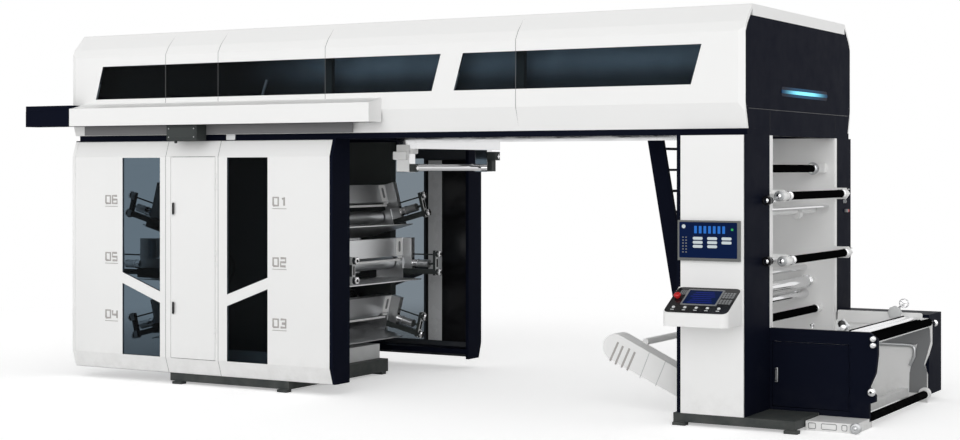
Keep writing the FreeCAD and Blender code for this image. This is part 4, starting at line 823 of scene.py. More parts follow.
def painted_shade_and_sheen_board():
    """Black painted shade with a painted slate sheen towards the tower and the glass top."""
    material = bpy.data.materials.new("lining")
    tree = nodes_of(material)
    place = add(tree, "TexCoord")
    parts = add(tree, "SeparateXYZ", Vector=place.outputs["Object"])
    # Painted sheen grows along the bridge and up the glass; the black base is painted shade.
    along = stretch(tree, parts.outputs["X"], CORNER[0] - 6.2, CORNER[0] - 4.2, smooth=True)
    high = stretch(tree, parts.outputs["Z"], 3.30, 3.68, 0.10, 1.0, smooth=True)
    cloud = add(tree, "TexNoise", Vector=place.outputs["Object"], Scale=1.6, Detail=2.0)
    share = math_node(tree, "MULTIPLY", math_node(tree, "MULTIPLY", along, high),
                      stretch(tree, cloud.outputs["Fac"], 0.3, 0.7, 0.55, 1.0), clamp=True)
    colour = blend_colour(tree, share, (0.005, 0.006, 0.007, 1.0), (0.72, 0.86, 0.98, 1.0))
    shader = add(tree, "BsdfPrincipled", Base_Color=colour, Roughness=0.7)
    shader.inputs["Specular IOR Level"].default_value = 0.1
    surface_of(tree, shader)
    return material


boards, posts = [], []
for near, far in ((LINING_Y, LINING_Y + LINING_THICK),
                  (DEPTH - LINING_Y - LINING_THICK, DEPTH - LINING_Y)):
    boards.append(slab((BRIDGE_LEFT + 0.04, near, 2.90), (BRIDGE_RIGHT, far, 3.90)))
for x in POSTS:
    for near in (0.10, DEPTH - 0.16):
        posts.append(slab((x - 0.045, near, 3.10), (x + 0.045, near + 0.06, 3.76), corner=0.008))
strut = tube([(-5.76, 0.2, 3.20), (-5.72, 0.2, 3.31), (-5.68, 0.2, 3.42)], 0.016)
make_piece("bridge_lining", boards, painted_shade_and_sheen_board())
make_piece("bridge_posts", posts, grey_paint)
make_piece("bridge_strut", [strut], satin_steel)
print("lining boards:", len(boards), "posts:", len(posts))

# %% [markdown]
# The housing has plain unit numbers beside its windows and two black latches on the door. A
# number is drawn with the fewest straight strokes, as on a stencil, and each stroke is the same
# flat tube as a seam. The latches ride on the door, so they swing with it.

# %% Unit numbers and latches
STROKES = {
    "0": [[(0, 0), (1, 0), (1, 1), (0, 1), (0, 0)]],
    "1": [[(0.3, 0.8), (0.7, 1), (0.7, 0)]],
    "2": [[(0, 1), (1, 1), (1, 0.5), (0, 0.5), (0, 0), (1, 0)]],
    "3": [[(0, 1), (1, 1), (1, 0), (0, 0)], [(0.25, 0.5), (1, 0.5)]],
    "4": [[(0, 1), (0, 0.45), (1, 0.45)], [(1, 1), (1, 0)]],
    "5": [[(1, 1), (0, 1), (0, 0.5), (1, 0.5), (1, 0), (0, 0)]],
    "6": [[(1, 1), (0, 1), (0, 0), (1, 0), (1, 0.5), (0, 0.5)]],
}
NUMBER_HIGH, NUMBER_WIDE, NUMBER_STEP, STROKE_HALF = 0.088, 0.068, 0.100, 0.012
NUMBER_LEVELS = (2.08, 1.42, 0.754)
LEFT_NUMBERS, RIGHT_NUMBERS = (-7.848, ("06", "05", "04")), (-5.446, ("01", "02", "03"))
LATCH_LEVELS = (1.987, 0.864)
LATCH_WIDE, LATCH_HIGH, LATCH_DEEP = 0.032, 0.137, 0.009

numbers = []
for left, texts in (LEFT_NUMBERS, RIGHT_NUMBERS):
    for text, level in zip(texts, NUMBER_LEVELS):
        for spot, digit in enumerate(text):
            for stroke in STROKES[digit]:
                flat = np.array(stroke) * (NUMBER_WIDE, NUMBER_HIGH)
                path = np.stack([left + spot * NUMBER_STEP + flat[:, 0],
                                 np.full(len(flat), -0.0005),
                                 level - NUMBER_HIGH / 2 + flat[:, 1]], axis=1)
                numbers.append(tube(path, STROKE_HALF, 0.001, around=6))
        line = level - NUMBER_HIGH / 2 - 0.034
        numbers.append(tube([(left - 0.012, -0.0005, line), (left + 0.18, -0.0005, line)],
                            0.0035, 0.001, around=6))
make_piece("unit_numbers", numbers, number_grey)
latch_x = corner_box("service_door")[0][0] + 0.046
latch_y = corner_box("service_door")[0][1]
latches = [plate(rounded(LATCH_WIDE, LATCH_HIGH, 0.013), (latch_x, latch_y, level), (1, 0, 0),
                 (0, 0, 1), LATCH_DEEP, 0.004) for level in LATCH_LEVELS]
make_piece("door_latches", latches, gloss_black, body="service_door")
print("number strokes:", len(numbers), "latches:", len(latches))

# %% [markdown]
# The head of the tower carries a lit bar that is brightest in its middle, with a painted glow
# around it for its light on the panel, and two panel seams.
# The hoist's trolley has a cover plate with screws, and its rail a light bracket. A grey strip
# under the hoist cover is painted shade, for the shadow that the cover casts.

# %% Head and hoist
LIGHT_NEAR, LIGHT_FAR, LIGHT_LOW, LIGHT_TOP = 1.00, 2.39, 3.183, 3.217
RAIL_CAP = 0.062
# Grey of the strip under the hoist cover: painted shade for the cover's shadow.
shade_strip_grey = painted("shade_strip_grey", (0.20, 0.20, 0.205), 0.45, 0.25, (0.35, 0.35, 0.35))
light_middle = CORNER[1] + (LIGHT_NEAR + LIGHT_FAR) / 2
cyan_light = glowing("cyan_light", (0.22, 0.78, 1.0), 1.5, (0.002, 0.02, 0.05),
                     soft=(light_middle, (LIGHT_FAR - LIGHT_NEAR) / 2))
# Painted light: the halo plate glows faintly around the bar, for its light on the navy panel.
cyan_halo = glowing("cyan_halo", (0.006, 0.06, 0.13), 1.0, (0.004, 0.005, 0.011),
                    soft=(light_middle, (LIGHT_FAR - LIGHT_NEAR) / 2))
halo = slab((0.0, LIGHT_NEAR, LIGHT_LOW - 0.03), (0.002, LIGHT_FAR, LIGHT_TOP + 0.03), 0.03, 0.0005)
bar = slab((0.001, LIGHT_NEAR, LIGHT_LOW), (0.006, LIGHT_FAR, LIGHT_TOP), corner=0.015)
make_piece("head_light_halo", [halo], cyan_halo)
make_piece("head_light", [bar], cyan_light)
lines = [((0.11, 3.01), (DEPTH - 0.11, 3.01)), ((0.68, 2.77), (0.68, 3.01)),
         ((2.66, 2.77), (2.66, 3.01))]
seams = [tube([(0.0004, *start), (0.0004, *end)], 0.003, 0.0009, around=4, face=(1, 0, 0.01))
         for start, end in lines]
make_piece("head_seams", seams, gloss_black)


SCREW_HIGH = 0.005


def screw(place, direction, radius=0.008):
    """A cap screw: a low turned head with a rounded rim and a hollow for the key."""
    return turned([(0.0, radius), (SCREW_HIGH * 0.7, radius), (SCREW_HIGH, radius * 0.8),
                   (SCREW_HIGH, radius * 0.5), (SCREW_HIGH * 0.4, radius * 0.45)], place,
                  direction, 12)


trolley_low, trolley_high = corner_box("hoist_trolley")
front = trolley_low[1]
cover = slab((trolley_low[0] + 0.02, front - 0.005, 2.775), (trolley_high[0] - 0.02, front, 2.90))
cover_screws = [screw((x, front - 0.005, z), (0, -1, 0)) for z in (2.79, 2.885)
                for x in (trolley_low[0] + 0.035, trolley_high[0] - 0.035)]
make_piece("trolley_cover", [cover], grey_paint, body="hoist_trolley")
make_piece("trolley_screws", cover_screws, satin_steel, body="hoist_trolley")
bracket = slab((-6.139, 0.058, 2.757), (-6.013, 0.075, 2.869), corner=0.01)
make_piece("hoist_bracket", [bracket], aluminium)
cover_low, cover_high = corner_box("hoist_cover")
# Painted shade: a grey strip along the underside of the hoist cover stands for its shadow.
shade_strip = slab((cover_low[0] + 0.03, -0.017, 2.822),
             (cover_high[0] - 0.35, -0.005, cover_low[2] + 0.004), corner=0.002)
make_piece("hoist_shade_strip", [shade_strip], shade_strip_grey)
rail_low, rail_high = corner_box("hoist_rail")
cap = slab((rail_low[0], rail_low[1], rail_high[2]), (cover_low[0] + 0.01, rail_high[1],
                                                    rail_high[2] + RAIL_CAP), corner=0.004)
make_piece("hoist_rail_cap", [cap], navy_paint)
print("trolley front at", round(float(front), 3))

# %% [markdown]
# The control screen shows a generic page: a row of blue bars, pale fields in columns, a disc and
# a green mark. It is drawn with thin rounded plates in front of a navy pane, like cut paper.

# %% Control screen
FACE = corner_box("control_screen")[0][1]
BARS, BAR_STEP, BAR_WIDE = 7, 0.0473, 0.027
FIELD_COLUMNS, FIELD_ROWS = (-0.454, -0.308, -0.164), (1.782, 1.744, 1.706)


def on_face(width, height, x, z, depth=0.001, corner=0.004, lift=0.002):
    """A thin rounded plate in front of the screen, by its size and middle."""
    return plate(rounded(width, height, corner), (x, FACE - lift, z), (1, 0, 0), (0, 0, 1), depth,
                 0.0003)


pane = on_face(0.583, 0.338, -0.3505, 1.766, 0.002, 0.008, lift=0.0)
bars = [on_face(BAR_WIDE, 0.07, -0.476 + k * BAR_STEP, 1.864) for k in range(BARS)]
fields = [on_face(0.10, 0.027, x, z, corner=0.012) for x in FIELD_COLUMNS for z in FIELD_ROWS
          if (x, z) != (FIELD_COLUMNS[-1], FIELD_ROWS[-1])]
fields += [plate(circle(0.019), (-0.597, FACE - 0.002, 1.893), (1, 0, 0), (0, 0, 1), 0.001, 0.0003)]
dots = [on_face(0.016, 0.012, x, z) for x in (-0.604, -0.572) for z in np.linspace(1.65, 1.79, 6)]
ticks = [on_face(0.022, 0.02, -0.108, 1.868)]
make_piece("screen_pane", [pane], screen_navy)
make_piece("screen_bars", bars, screen_blue)
make_piece("screen_dots", dots, bezel_grey)
make_piece("screen_fields", fields, screen_pale)
make_piece("screen_mark", ticks, lamp_green)
print("screen face at", round(float(FACE), 3))

# %% [markdown]
# The desk's sloping top is a black plate with round front corners. It holds a display in a pale
# frame, a red stop button, five pale push buttons and three groups of keys. Each place is given by
# x and by the way up the slope from the front lip, so everything lies square on it.

# %% Operator's desk
DESK_FRONT, DESK_LIP, DESK_BACK = corner_box("operator_desk")[0][1], 1.10, 1.316
SLOPE = unit((0.0, -DESK_FRONT, DESK_BACK - DESK_LIP))
NORMAL = np.cross((1, 0, 0), SLOPE)
BUTTON_PLACES = (-0.581, -0.466, -0.352, -0.241, -0.128)
KEY_GROUPS = (((-0.165, -0.045), (0.27, 0.37)), ((-0.606, -0.53), (0.31, 0.385)),
              ((-0.165, -0.045), (0.17, 0.25)))


def on_desk(x, way, lift=0.0):
    """A place on the slope: lip + way . slope + lift . normal."""
    return np.array([x, DESK_FRONT, DESK_LIP]) + way * SLOPE + lift * NORMAL


def desk_plate(width, height, x, way, depth, corner=0.01, lift=0.0, edge=0.001):
    """A rounded plate that lies on the slope."""
    return plate(rounded(width, height, corner), on_desk(x, way, lift), (1, 0, 0), SLOPE, depth,
                 edge)


make_piece("desk_top", [desk_plate(0.634, 0.436, -0.34, 0.228, 0.003, 0.05)], gloss_black)
make_piece("desk_display_frame", [desk_plate(0.365, 0.27, -0.352, 0.272, 0.006, 0.012, 0.002)],
           bezel_grey)
make_piece("desk_display", [desk_plate(0.33, 0.235, -0.352, 0.272, 0.002, 0.006, 0.007)],
           screen_navy)
lines = [desk_plate(0.25 - 0.03 * (k % 3), 0.014, -0.352, 0.18 + 0.034 * k, 0.001, 0.004, 0.0088,
                    0.0003) for k in range(6)]
make_piece("desk_display_lines", lines, screen_dim)
stop = turned([(0.0, 0.020), (0.020, 0.020), (0.022, 0.034), (0.036, 0.034), (0.045, 0.027),
               (0.048, 0.008)], on_desk(-0.600, 0.262), NORMAL, 24)
make_piece("stop_button", [stop], red_plastic)
caps = [turned([(0.0, 0.016), (0.006, 0.016), (0.007, 0.013), (0.011, 0.012), (0.012, 0.009)],
               on_desk(x, 0.095), NORMAL, 20) for x in BUTTON_PLACES]
labels = [desk_plate(0.034, 0.012, x, 0.055, 0.001, 0.003, 0.0028, 0.0003) for x in BUTTON_PLACES]
make_piece("desk_buttons", caps + labels, key_white)
keys = [desk_plate((right - left) / 4 - 0.006, (top - low) / 3 - 0.006, x, way, 0.006, 0.004, 0.002)
        for (left, right), (low, top) in KEY_GROUPS
        for x in np.linspace(left, right, 9)[1::2] for way in np.linspace(low, top, 7)[1::2]]
make_piece("desk_keys", keys, bezel_grey)
print("desk parts:", len(caps) + len(labels) + len(keys))

# %% [markdown]
# Behind the print section the rear wall closes with a dark glossy panel, a pale strip and a black
# post, seen through the machine from the gangway. The pale strip is the wall's white inner face,
# given a grey colour as painted shade.

# %% Rear inner panels
REAR_FACE = DEPTH - 0.05
PANEL_LOW, PANEL_TOP = 0.30, 2.54
# Painted shade: the white inner face of the rear wall, coloured grey as it is seen in shade.
strip_shade_grey = painted("strip_shade_grey", (0.62, 0.63, 0.64), 0.25, 0.5, (0.4, 0.4, 0.4))
for name, left, right, thick, finish, slot in (
        ("rear_post", -5.428, -5.395, 0.018, black_plastic, "navy_panel"),
        ("rear_strip", -5.395, -5.197, 0.012, strip_shade_grey, "light_grey"),
        ("rear_panel", -5.197, -4.70, 0.018, gloss_black, "navy_panel")):
    board = slab((left, REAR_FACE, PANEL_LOW), (right, REAR_FACE + thick, PANEL_TOP))
    make_piece(name, [board], finish)
print("rear face at", round(float(REAR_FACE), 3))

# %% [markdown]
# Each print deck leans towards the drum, so its small parts are placed in the deck's own frame:
# `along` runs out from the plate cylinder, `up` is square to it. Both ends of a deck carry the
# same parts: pale end blocks and polished star knobs on the frame, and on the sliding deck itself
# a slotted plate by the ink chamber, a bright sleeve on the push tube and a dark clamp.

# %% Places on a print deck
DRUM_X = -6.615
DECK_PLACES = {1: (1, 0.7068, 1.79, 15.0), 2: (1, 0.86, 1.30, 0.0), 3: (1, 0.657, 0.745, -14.0),
               6: (-1, 0.7068, 1.79, 15.0), 5: (-1, 0.86, 1.30, 0.0), 4: (-1, 0.657, 0.745, -14.0)}
CHAMBER_LIFT = {1: 0.145, 6: 0.145, 2: 0.08, 5: 0.08, 3: 0.03, 4: 0.03}
DECK_ENDS = ((0.775, -1), (2.565, 1))
STAR_KNOB = [(0.0, 0.030), (0.002, 0.042), (0.020, 0.042), (0.026, 0.034), (0.026, 0.020)]
KNOB_HUB = [(0.0, 0.018), (0.005, 0.018), (0.008, 0.010)]
SLEEVE = [(0.0, 0.040), (0.0, 0.053), (0.014, 0.053), (0.018, 0.050), (0.060, 0.050),
          (0.064, 0.054), (0.080, 0.054), (0.084, 0.044)]
SLEEVE_START = 0.508


def deck_frame(deck):
    """A deck's middle point on the operator's plane, and its along and up directions."""
    side, start, level, lean = DECK_PLACES[deck]
    sine, cosine = math.sin(math.radians(lean)), math.cos(math.radians(lean))
    return (np.array([DRUM_X + side * start, 0.0, level]), np.array([side * cosine, 0.0, sine]),
            np.array([-side * sine, 0.0, cosine]))


def on_deck(deck, along, up, y):
    """A place in a deck's frame: middle + along . a + up . u, at the distance y."""
    middle, ahead, above = deck_frame(deck)
    return middle + along * ahead + up * above + np.array([0.0, y, 0.0])


def deck_block(deck, centre, size, y, thick):
    """A rounded plate in a deck's frame, from y - thick / 2 to y + thick / 2."""
    _, ahead, above = deck_frame(deck)
    out = np.cross(ahead, above)
    origin = on_deck(deck, centre[0], centre[1], y) - out * thick / 2
    return plate(rounded(size[0], size[1], 0.006), origin, ahead, above, thick)


print("decks:", sorted(DECK_PLACES))

# %% [markdown]
# The decks differ only in their place and lean, so one loop makes all six. What belongs to the
# sliding deck rides on it, and the end blocks, knobs and slots stay with the frame.

# %% Parts of the print decks
for deck, (side, *_) in DECK_PLACES.items():
    _, ahead, above = deck_frame(deck)
    lift, body = CHAMBER_LIFT[deck], f"print_deck_{deck}"
    blocks, knobs, hubs, plates, slots, sleeves, clamps, strips = [], [], [], [], [], [], [], []
    for y, out in DECK_ENDS:
        for up in (-0.11, 0.11):
            blocks.append(deck_block(deck, (0.82, up), (0.056, 0.088), y + out * 0.0375, 0.012))
            knobs.append(turned(STAR_KNOB, on_deck(deck, 0.87, up, y), ahead, 30, 6, 0.10))
            hubs.append(turned(KNOB_HUB, on_deck(deck, 0.895, up, y), ahead, 16))
        blocks.append(plate(rounded(0.062, 0.30, 0.012), on_deck(deck, 0.84, 0.0, y), (0, side, 0),
                            above, 0.004))
        # Painted shade: the slot is a flat dark plate on the face, for the shade in its opening.
        slots.append(plate(rounded(0.036, 0.10, 0.008), on_deck(deck, 0.844, 0.0, y),
                           (0, side, 0), above, 0.003))
        inner = y - out * 0.125
        plates.append(plate(rounded(0.13, 0.205, 0.018), on_deck(deck, 0.380, lift + 0.11, inner),
                            (0, side, 0), above, 0.007))
        # Painted shade: the slot is a flat dark plate on the face, for the shade in its opening.
        slots.append(plate(rounded(0.045, 0.13, 0.02), on_deck(deck, 0.387, lift + 0.115, inner),
                           (0, side, 0), above, 0.0012, 0.0004))
        sleeves.append(turned(SLEEVE, on_deck(deck, SLEEVE_START, -0.01, y), ahead, 28))
        clamps.append(deck_block(deck, (0.475, 0.0), (0.062, 0.12), y, 0.05))
        strips.append(plate(rounded(0.10, 0.020, 0.008), on_deck(deck, 0.382, lift - 0.014, inner),
                            (0, side, 0), above, 0.012))
    near, far = DECK_ENDS[0][0] + 0.13, DECK_ENDS[1][0] - 0.13
    strips.append(tube([on_deck(deck, 0.40, lift - 0.045, y) for y in np.linspace(near, far, 3)],
                       0.014, 0.004, face=ahead))
    make_piece(f"deck_{deck}_end_blocks", blocks, pale_paint)
    make_piece(f"deck_{deck}_star_knobs", knobs, polished, sharp=50)
    make_piece(f"deck_{deck}_knob_hubs", hubs, gloss_black)
    make_piece(f"deck_{deck}_chamber_plates", plates + strips, white_paint, body)
    make_piece(f"deck_{deck}_sleeves", sleeves, polished, body)
    make_piece(f"deck_{deck}_clamps", clamps, black_plastic, body)
    make_piece(f"deck_{deck}_slots", slots[1::2], bezel_grey, body)
    make_piece(f"deck_{deck}_end_slots", slots[::2], gloss_black)
print("parts per deck:", len(blocks + knobs + hubs + plates + strips + sleeves + clamps + slots))

# %% [markdown]
# The tower's guide rollers end in bearings, and every roller has a polished collar at both ends. A
# collar is turned, with a groove, because a plain ring would look like part of the roller.

# %% Bearings of the guide rollers
ROLLERS = {"top": (-0.200, 2.440, 0.04), "upper": (0.120, 2.175, 0.04),
           "middle": (0.150, 1.550, 0.04), "inner": (-0.260, 1.240, 0.06),
           "lower": (-0.170, 0.950, 0.04)}
BODY_NEAR, BODY_FAR = 0.873, 2.480
KNOB_FACE = 0.600
for name, (x, z, radius) in ROLLERS.items():
    wide = radius + 0.007
    collar = [(0.0, radius * 0.7), (0.0, wide), (0.022, wide), (0.025, wide - 0.006),
              (0.031, wide - 0.006), (0.034, wide), (0.052, wide), (0.055, radius * 0.8)]
    make_piece(f"roller_{name}_collars",
               [turned(collar, (x, BODY_NEAR + 0.012, z), (0, -1, 0)),
                turned(collar, (x, BODY_FAR - 0.012, z), (0, 1, 0))],
               polished, f"guide_roller_{name}")
print("rollers with collars:", len(ROLLERS))

# %% [markdown]
# Two of the rollers can be trued from outside: a fluted grip is turned with many low lobes, a
# bright middle closes it, and a second grip on a rod stands in front of the post. Behind them
# runs a pale tray roll, and the top roller ends in a finely cut disc under a white guard.

# %% Adjusting knobs of the tower
rims, hearts, cups = [], [], []
for name in ("upper", "middle"):
    x, z, _ = ROLLERS[name]
    cups.append(turned([(-0.02, 0.040), (-0.018, 0.048), (0.004, 0.048), (0.010, 0.042),
                        (0.010, 0.030), (0.002, 0.028)], (x, KNOB_FACE, z), (0, -1, 0), 32, 16,
                       0.02))
    hearts.append(turned([(0.0, 0.024), (0.010, 0.024), (0.016, 0.016), (0.018, 0.006)],
                         (x, KNOB_FACE, z), (0, -1, 0)))
    for y, out in ((0.725, -1), (2.670, 1)):
        hearts += [screw((x + 0.028 * turn, y, z + 0.044 * turn), (0, out, 0))
                   for turn in (-1, 1)]
OUTER_X, OUTER_Y, OUTER_LEVELS = 0.048, 0.46, (2.135, 1.553)
rods = []
for z in OUTER_LEVELS:
    rods.append(turned([(0.0, 0.020), (0.10, 0.020), (0.102, 0.034), (0.16, 0.034), (0.165, 0.018),
                        (0.27, 0.018)], (OUTER_X, OUTER_Y, z), (0, 1, 0)))
    rims.append(turned([(-0.035, 0.038), (-0.033, 0.046), (0.004, 0.046), (0.010, 0.040),
                        (0.010, 0.028), (0.002, 0.026)], (OUTER_X, OUTER_Y, z), (0, -1, 0), 32, 16,
                       0.02))
    hearts.append(turned([(0.0, 0.022), (0.010, 0.022), (0.016, 0.014), (0.018, 0.006)],
                         (OUTER_X, OUTER_Y, z), (0, -1, 0)))
tray = turned([(0.0, 0.024), (0.004, 0.034), (1.87, 0.034), (1.874, 0.024)], (-0.235, 0.765, 1.995),
              (0, 1, 0))
tray_end = turned([(0.0, 0.030), (0.004, 0.048), (0.10, 0.048), (0.104, 0.030)],
                  (-0.225, 2.05, 1.962), (0, 1, 0))
make_piece("outer_knob_rods", rods, polished)
make_piece("roller_cups", cups, satin_steel)
make_piece("tower_tray_roll", [tray, tray_end], white_paint)
make_piece("adjusting_knobs", rims, gloss_black)
make_piece("knob_middles", hearts, polished)
x, z, _ = ROLLERS["top"]
disc = turned([(0.0, 0.050), (0.002, 0.066), (0.022, 0.066), (0.024, 0.040)], (x, 2.535, z),
              (0, -1, 0), 72, 36, 0.025)
guard = plate(rounded(0.10, 0.10, 0.012), (x + 0.075, 2.60, z + 0.005), (1, 0, 0), (0, 0, 1), 0.055)
guard_back = plate(rounded(0.085, 0.085, 0.01), (x + 0.075, 2.639, z + 0.005), (1, 0, 0), (0, 0, 1),
                   0.04)
make_piece("top_roller_disc", [disc], satin_steel, sharp=60)
make_piece("top_roller_guard", [guard, guard_back], white_paint)
print("grips:", len(rims + cups), "bright middles and screws:", len(hearts))

# %% [markdown]
# On the post at the drive side hang a small grey box with a red cap and two steel hooks.

# %% Switch box and hooks
def hoop(centre, radius, thick, normal=(1, 0, 0)):
    """A ring: radius . (cos, sin) in a plane, with a round cut of thick about that line."""
    axis = unit(normal)
    first = unit(np.cross(axis, (0, 0, 1) if abs(axis[2]) < 0.9 else (1, 0, 0)))
    angle = np.linspace(0.0, 2 * math.pi, 24, endpoint=False)
    out = np.outer(np.cos(angle), first) + np.outer(np.sin(angle), np.cross(axis, first))
    turn = np.linspace(0.0, 2 * math.pi, 8, endpoint=False)[None, :, None]
    return shell(np.asarray(centre, float) + out[:, None] * (radius + thick * np.cos(turn))
                 + axis * thick * np.sin(turn), loop=True)


make_piece("switch_box", [slab((0.0, 2.985, 1.965), (0.022, 3.05, 2.0), corner=0.006)], bezel_grey)
make_piece("switch_cap", [slab((0.0, 3.048, 1.967), (0.024, 3.078, 1.998), corner=0.008)],
           red_plastic)
hooks = [hoop((0.003, y, 2.085), 0.018, 0.003) for y in (2.955, 3.015)]
make_piece("post_hooks", hooks, satin_steel)
print("hooks:", len(hooks))

# %% [markdown]
# The reel stand's edge is busy: a pull handle on the door, adjusting knobs on the panel, a small
# wheel with three spokes and a fluted brake knob. All of them are turned parts with a few rings,
# because a knob is known by its outline. The handle and its screws ride on the door.

# %% Handle and knobs of the reel stand
door_front = corner_box("stand_door")[0][1]
PLATE_NEAR, PLATE_FAR = 0.752, 2.697
handle = plate(rounded(0.030, 0.145, 0.010), (0.075, door_front, 0.452), (1, 0, 0), (0, 0, 1),
               0.012, 0.004)
make_piece("door_handle", [handle], satin_steel, "stand_door")
make_piece("handle_screws", [turned([(0.0, 0.007), (0.0015, 0.007), (0.002, 0.005)],
                                    (0.075, door_front - 0.012, z), (0, -1, 0), 12)
                             for z in (0.40, 0.505)], gloss_black, "stand_door")
front = corner_box("stand_near_panel")[0][1]
knobs = [turned([(0.0, 0.020), (0.012, 0.020), (0.014, 0.026), (0.05, 0.026), (0.056, 0.020),
                 (0.056, 0.012)], (1.03, front, z), (0, -1, 0), 24) for z in (0.845, 0.785)]
knobs.append(turned([(0.0, 0.030), (0.010, 0.030), (0.012, 0.040), (0.030, 0.040), (0.040, 0.030),
                     (0.042, 0.014)], (1.012, front, 0.345), (0, -1, 0)))
knobs.append(turned([(0.0, 0.011), (0.035, 0.010), (0.037, 0.021), (0.055, 0.023), (0.062, 0.014)],
                    (0.402, 0.742, 0.893), (0, 0, 1)))
knobs.append(turned([(0.0, 0.020), (0.030, 0.020), (0.032, 0.028), (0.050, 0.026), (0.054, 0.012)],
                    (0.725, 0.728, 0.935), (0, -1, 0)))
foot = slab((0.665, 0.735, 0.888), (0.760, 0.752, 0.962), corner=0.006)
dark = [turned([(0.0, 0.012), (0.003, 0.012), (0.004, 0.008)], (1.012, front - 0.042, 0.345),
               (0, -1, 0), 16),
        turned([(0.0, 0.030), (0.004, 0.036), (0.012, 0.036), (0.016, 0.030)],
               (0.700, 0.728, 0.965), (0, -1, 0), 24, 8, 0.06)]
bracket = [plate(circle(0.066, 4), (0.712, 0.742, 0.950), (1, 0, 0), (0, 0, 1), 0.014),
           plate(rounded(0.09, 0.03, 0.004), (0.700, 0.754, 0.905), (1, 0, 0), (0, 0, 1), 0.022)]
far_knob = turned([(0.0, 0.058), (0.006, 0.070), (0.040, 0.070), (0.046, 0.058), (0.046, 0.03)],
                  (0.640, PLATE_FAR + 0.012, 0.925), (0, -1, 0), 32, 8, 0.05)
wheel = [hoop((0.737, 2.690, 1.030), 0.045, 0.007, normal=(0.3, -1, 0.2))]
wheel += [turned([(0.0, 0.007), (0.047, 0.006)], (0.737, 2.690, 1.030),
                 (math.cos(a), 0.3 * math.cos(a), math.sin(a)), 8) for a in (0.3, 2.4, 4.5)]
wheel.append(turned([(0.0, 0.010), (0.10, 0.009)], (0.650, 2.690, 0.950), (0.087, 0.0, 0.080), 10))
hub_profile = [(0.0, 0.028), (0.004, 0.036), (0.024, 0.036), (0.030, 0.026), (0.030, 0.012)]
knobs.append(turned(hub_profile, (0.998, 2.910, 0.815), (0, -1, 0)))
make_piece("stand_knobs", knobs, polished, sharp=50)
make_piece("stand_knob_foot", [foot] + bracket, aluminium)
make_piece("stand_knob_middles", dark, gloss_black)
make_piece("reel_brake_knob", [far_knob], pale_paint, sharp=50)
make_piece("reel_hand_wheel", wheel, polished)

print("stand knobs:", len(knobs))

# %% [markdown]
# Light rods and rollers lie on top of the stand. They run from the near side plate to the far
# one, so they are placed by those two plates, and each steps down to a thinner end.

# %% Rods of the reel stand
TOP_RODS = ((0.735, 0.885, 0.014, black_rubber, "black_rubber"),
            (0.775, 0.872, 0.026, polished, "chrome"),
            (0.862, 0.868, 0.026, polished, "chrome"),
            (0.905, 0.850, 0.016, black_rubber, "black_rubber"),
            (0.985, 0.800, 0.020, polished, "chrome"))
for number, (x, z, radius, finish, slot) in enumerate(TOP_RODS, 1):
    rod = turned([(0.0, radius * 0.6), (0.03, radius * 0.6), (0.032, radius),
                  (PLATE_FAR - PLATE_NEAR - 0.032, radius),
                  (PLATE_FAR - PLATE_NEAR - 0.03, radius * 0.6),
                  (PLATE_FAR - PLATE_NEAR, radius * 0.6)], (x, PLATE_NEAR, z), (0, 1, 0))
    make_piece(f"stand_rod_{number}", [rod], finish)

bearing = turned([(0.0, 0.050), (0.004, 0.062), (0.050, 0.062), (0.056, 0.050), (0.056, 0.030)],
                 (0.96, PLATE_FAR, 0.10), (0, -1, 0), 28)
rail = tube([(0.925, y, 0.150) for y in np.linspace(PLATE_NEAR, PLATE_FAR, 3)], 0.016, 0.010)
make_piece("low_roller_bearing", [bearing, rail], white_paint)

print("rods:", len(TOP_RODS))

# %% [markdown]
# The far side plate has a grey edge that follows its cut-away front, a bright bent hem and a
# white cover along the top. The edge is one flat outline, and the hem a flat bar along a path.

# %% Far side plate of the reel stand
SHEET_FACE = 2.678
PLATE_FACE = 2.695
FAR_EDGE = [(0.88, 0.62), (0.865, 0.57), (0.855, 0.50), (0.815, 0.40), (0.795, 0.30), (0.790, 0.10),
            (0.975, 0.10), (0.975, 0.33), (0.945, 0.40), (0.975, 0.50), (1.012, 0.64),
            (1.005, 0.76), (0.985, 0.84), (0.50, 0.84), (0.50, 0.60), (0.86, 0.60)]
grey_strip = plate(FAR_EDGE[::-1], (0.0, 2.694, 0.0), (1, 0, 0), (0, 0, 1), 0.004, 0.0008)
bend = np.linspace(0.0, math.pi / 2, 5)[:, None]
fold = np.array([0.80, 0.545]) + 0.045 * np.column_stack([np.sin(bend), np.cos(bend)])
flat = np.concatenate([[[0.30, 0.59], [0.60, 0.59]], fold, [[0.845, 0.48], [0.80, 0.38]]])
hem = tube(np.column_stack([flat[:, 0], np.full(len(flat), SHEET_FACE), flat[:, 1]]), 0.018, 0.012)
top_sheet = slab((0.02, SHEET_FACE + 0.004, 0.80), (0.93, PLATE_FACE, 0.932), 0.02)
make_piece("far_plate_strip", [grey_strip], bezel_grey, sharp=20)
make_piece("far_sheet_hem", [hem], satin_steel)
make_piece("far_top_sheet", [top_sheet], white_paint)

print("points on the grey edge:", len(FAR_EDGE))

# %% [markdown]
# At the foot a pale lower frame has three pressed pockets, each with a lid, and a wheel on its
# end. A pocket is a dark rounded plate, painted shade for the recess, and its lid a slightly
# smaller white one in front.

# %% Lower frame of the reel stand
FRAME_FRONT = 0.27
FRAME_POCKETS = ((0.525, 0.600), (0.650, 0.800), (0.845, 0.900))
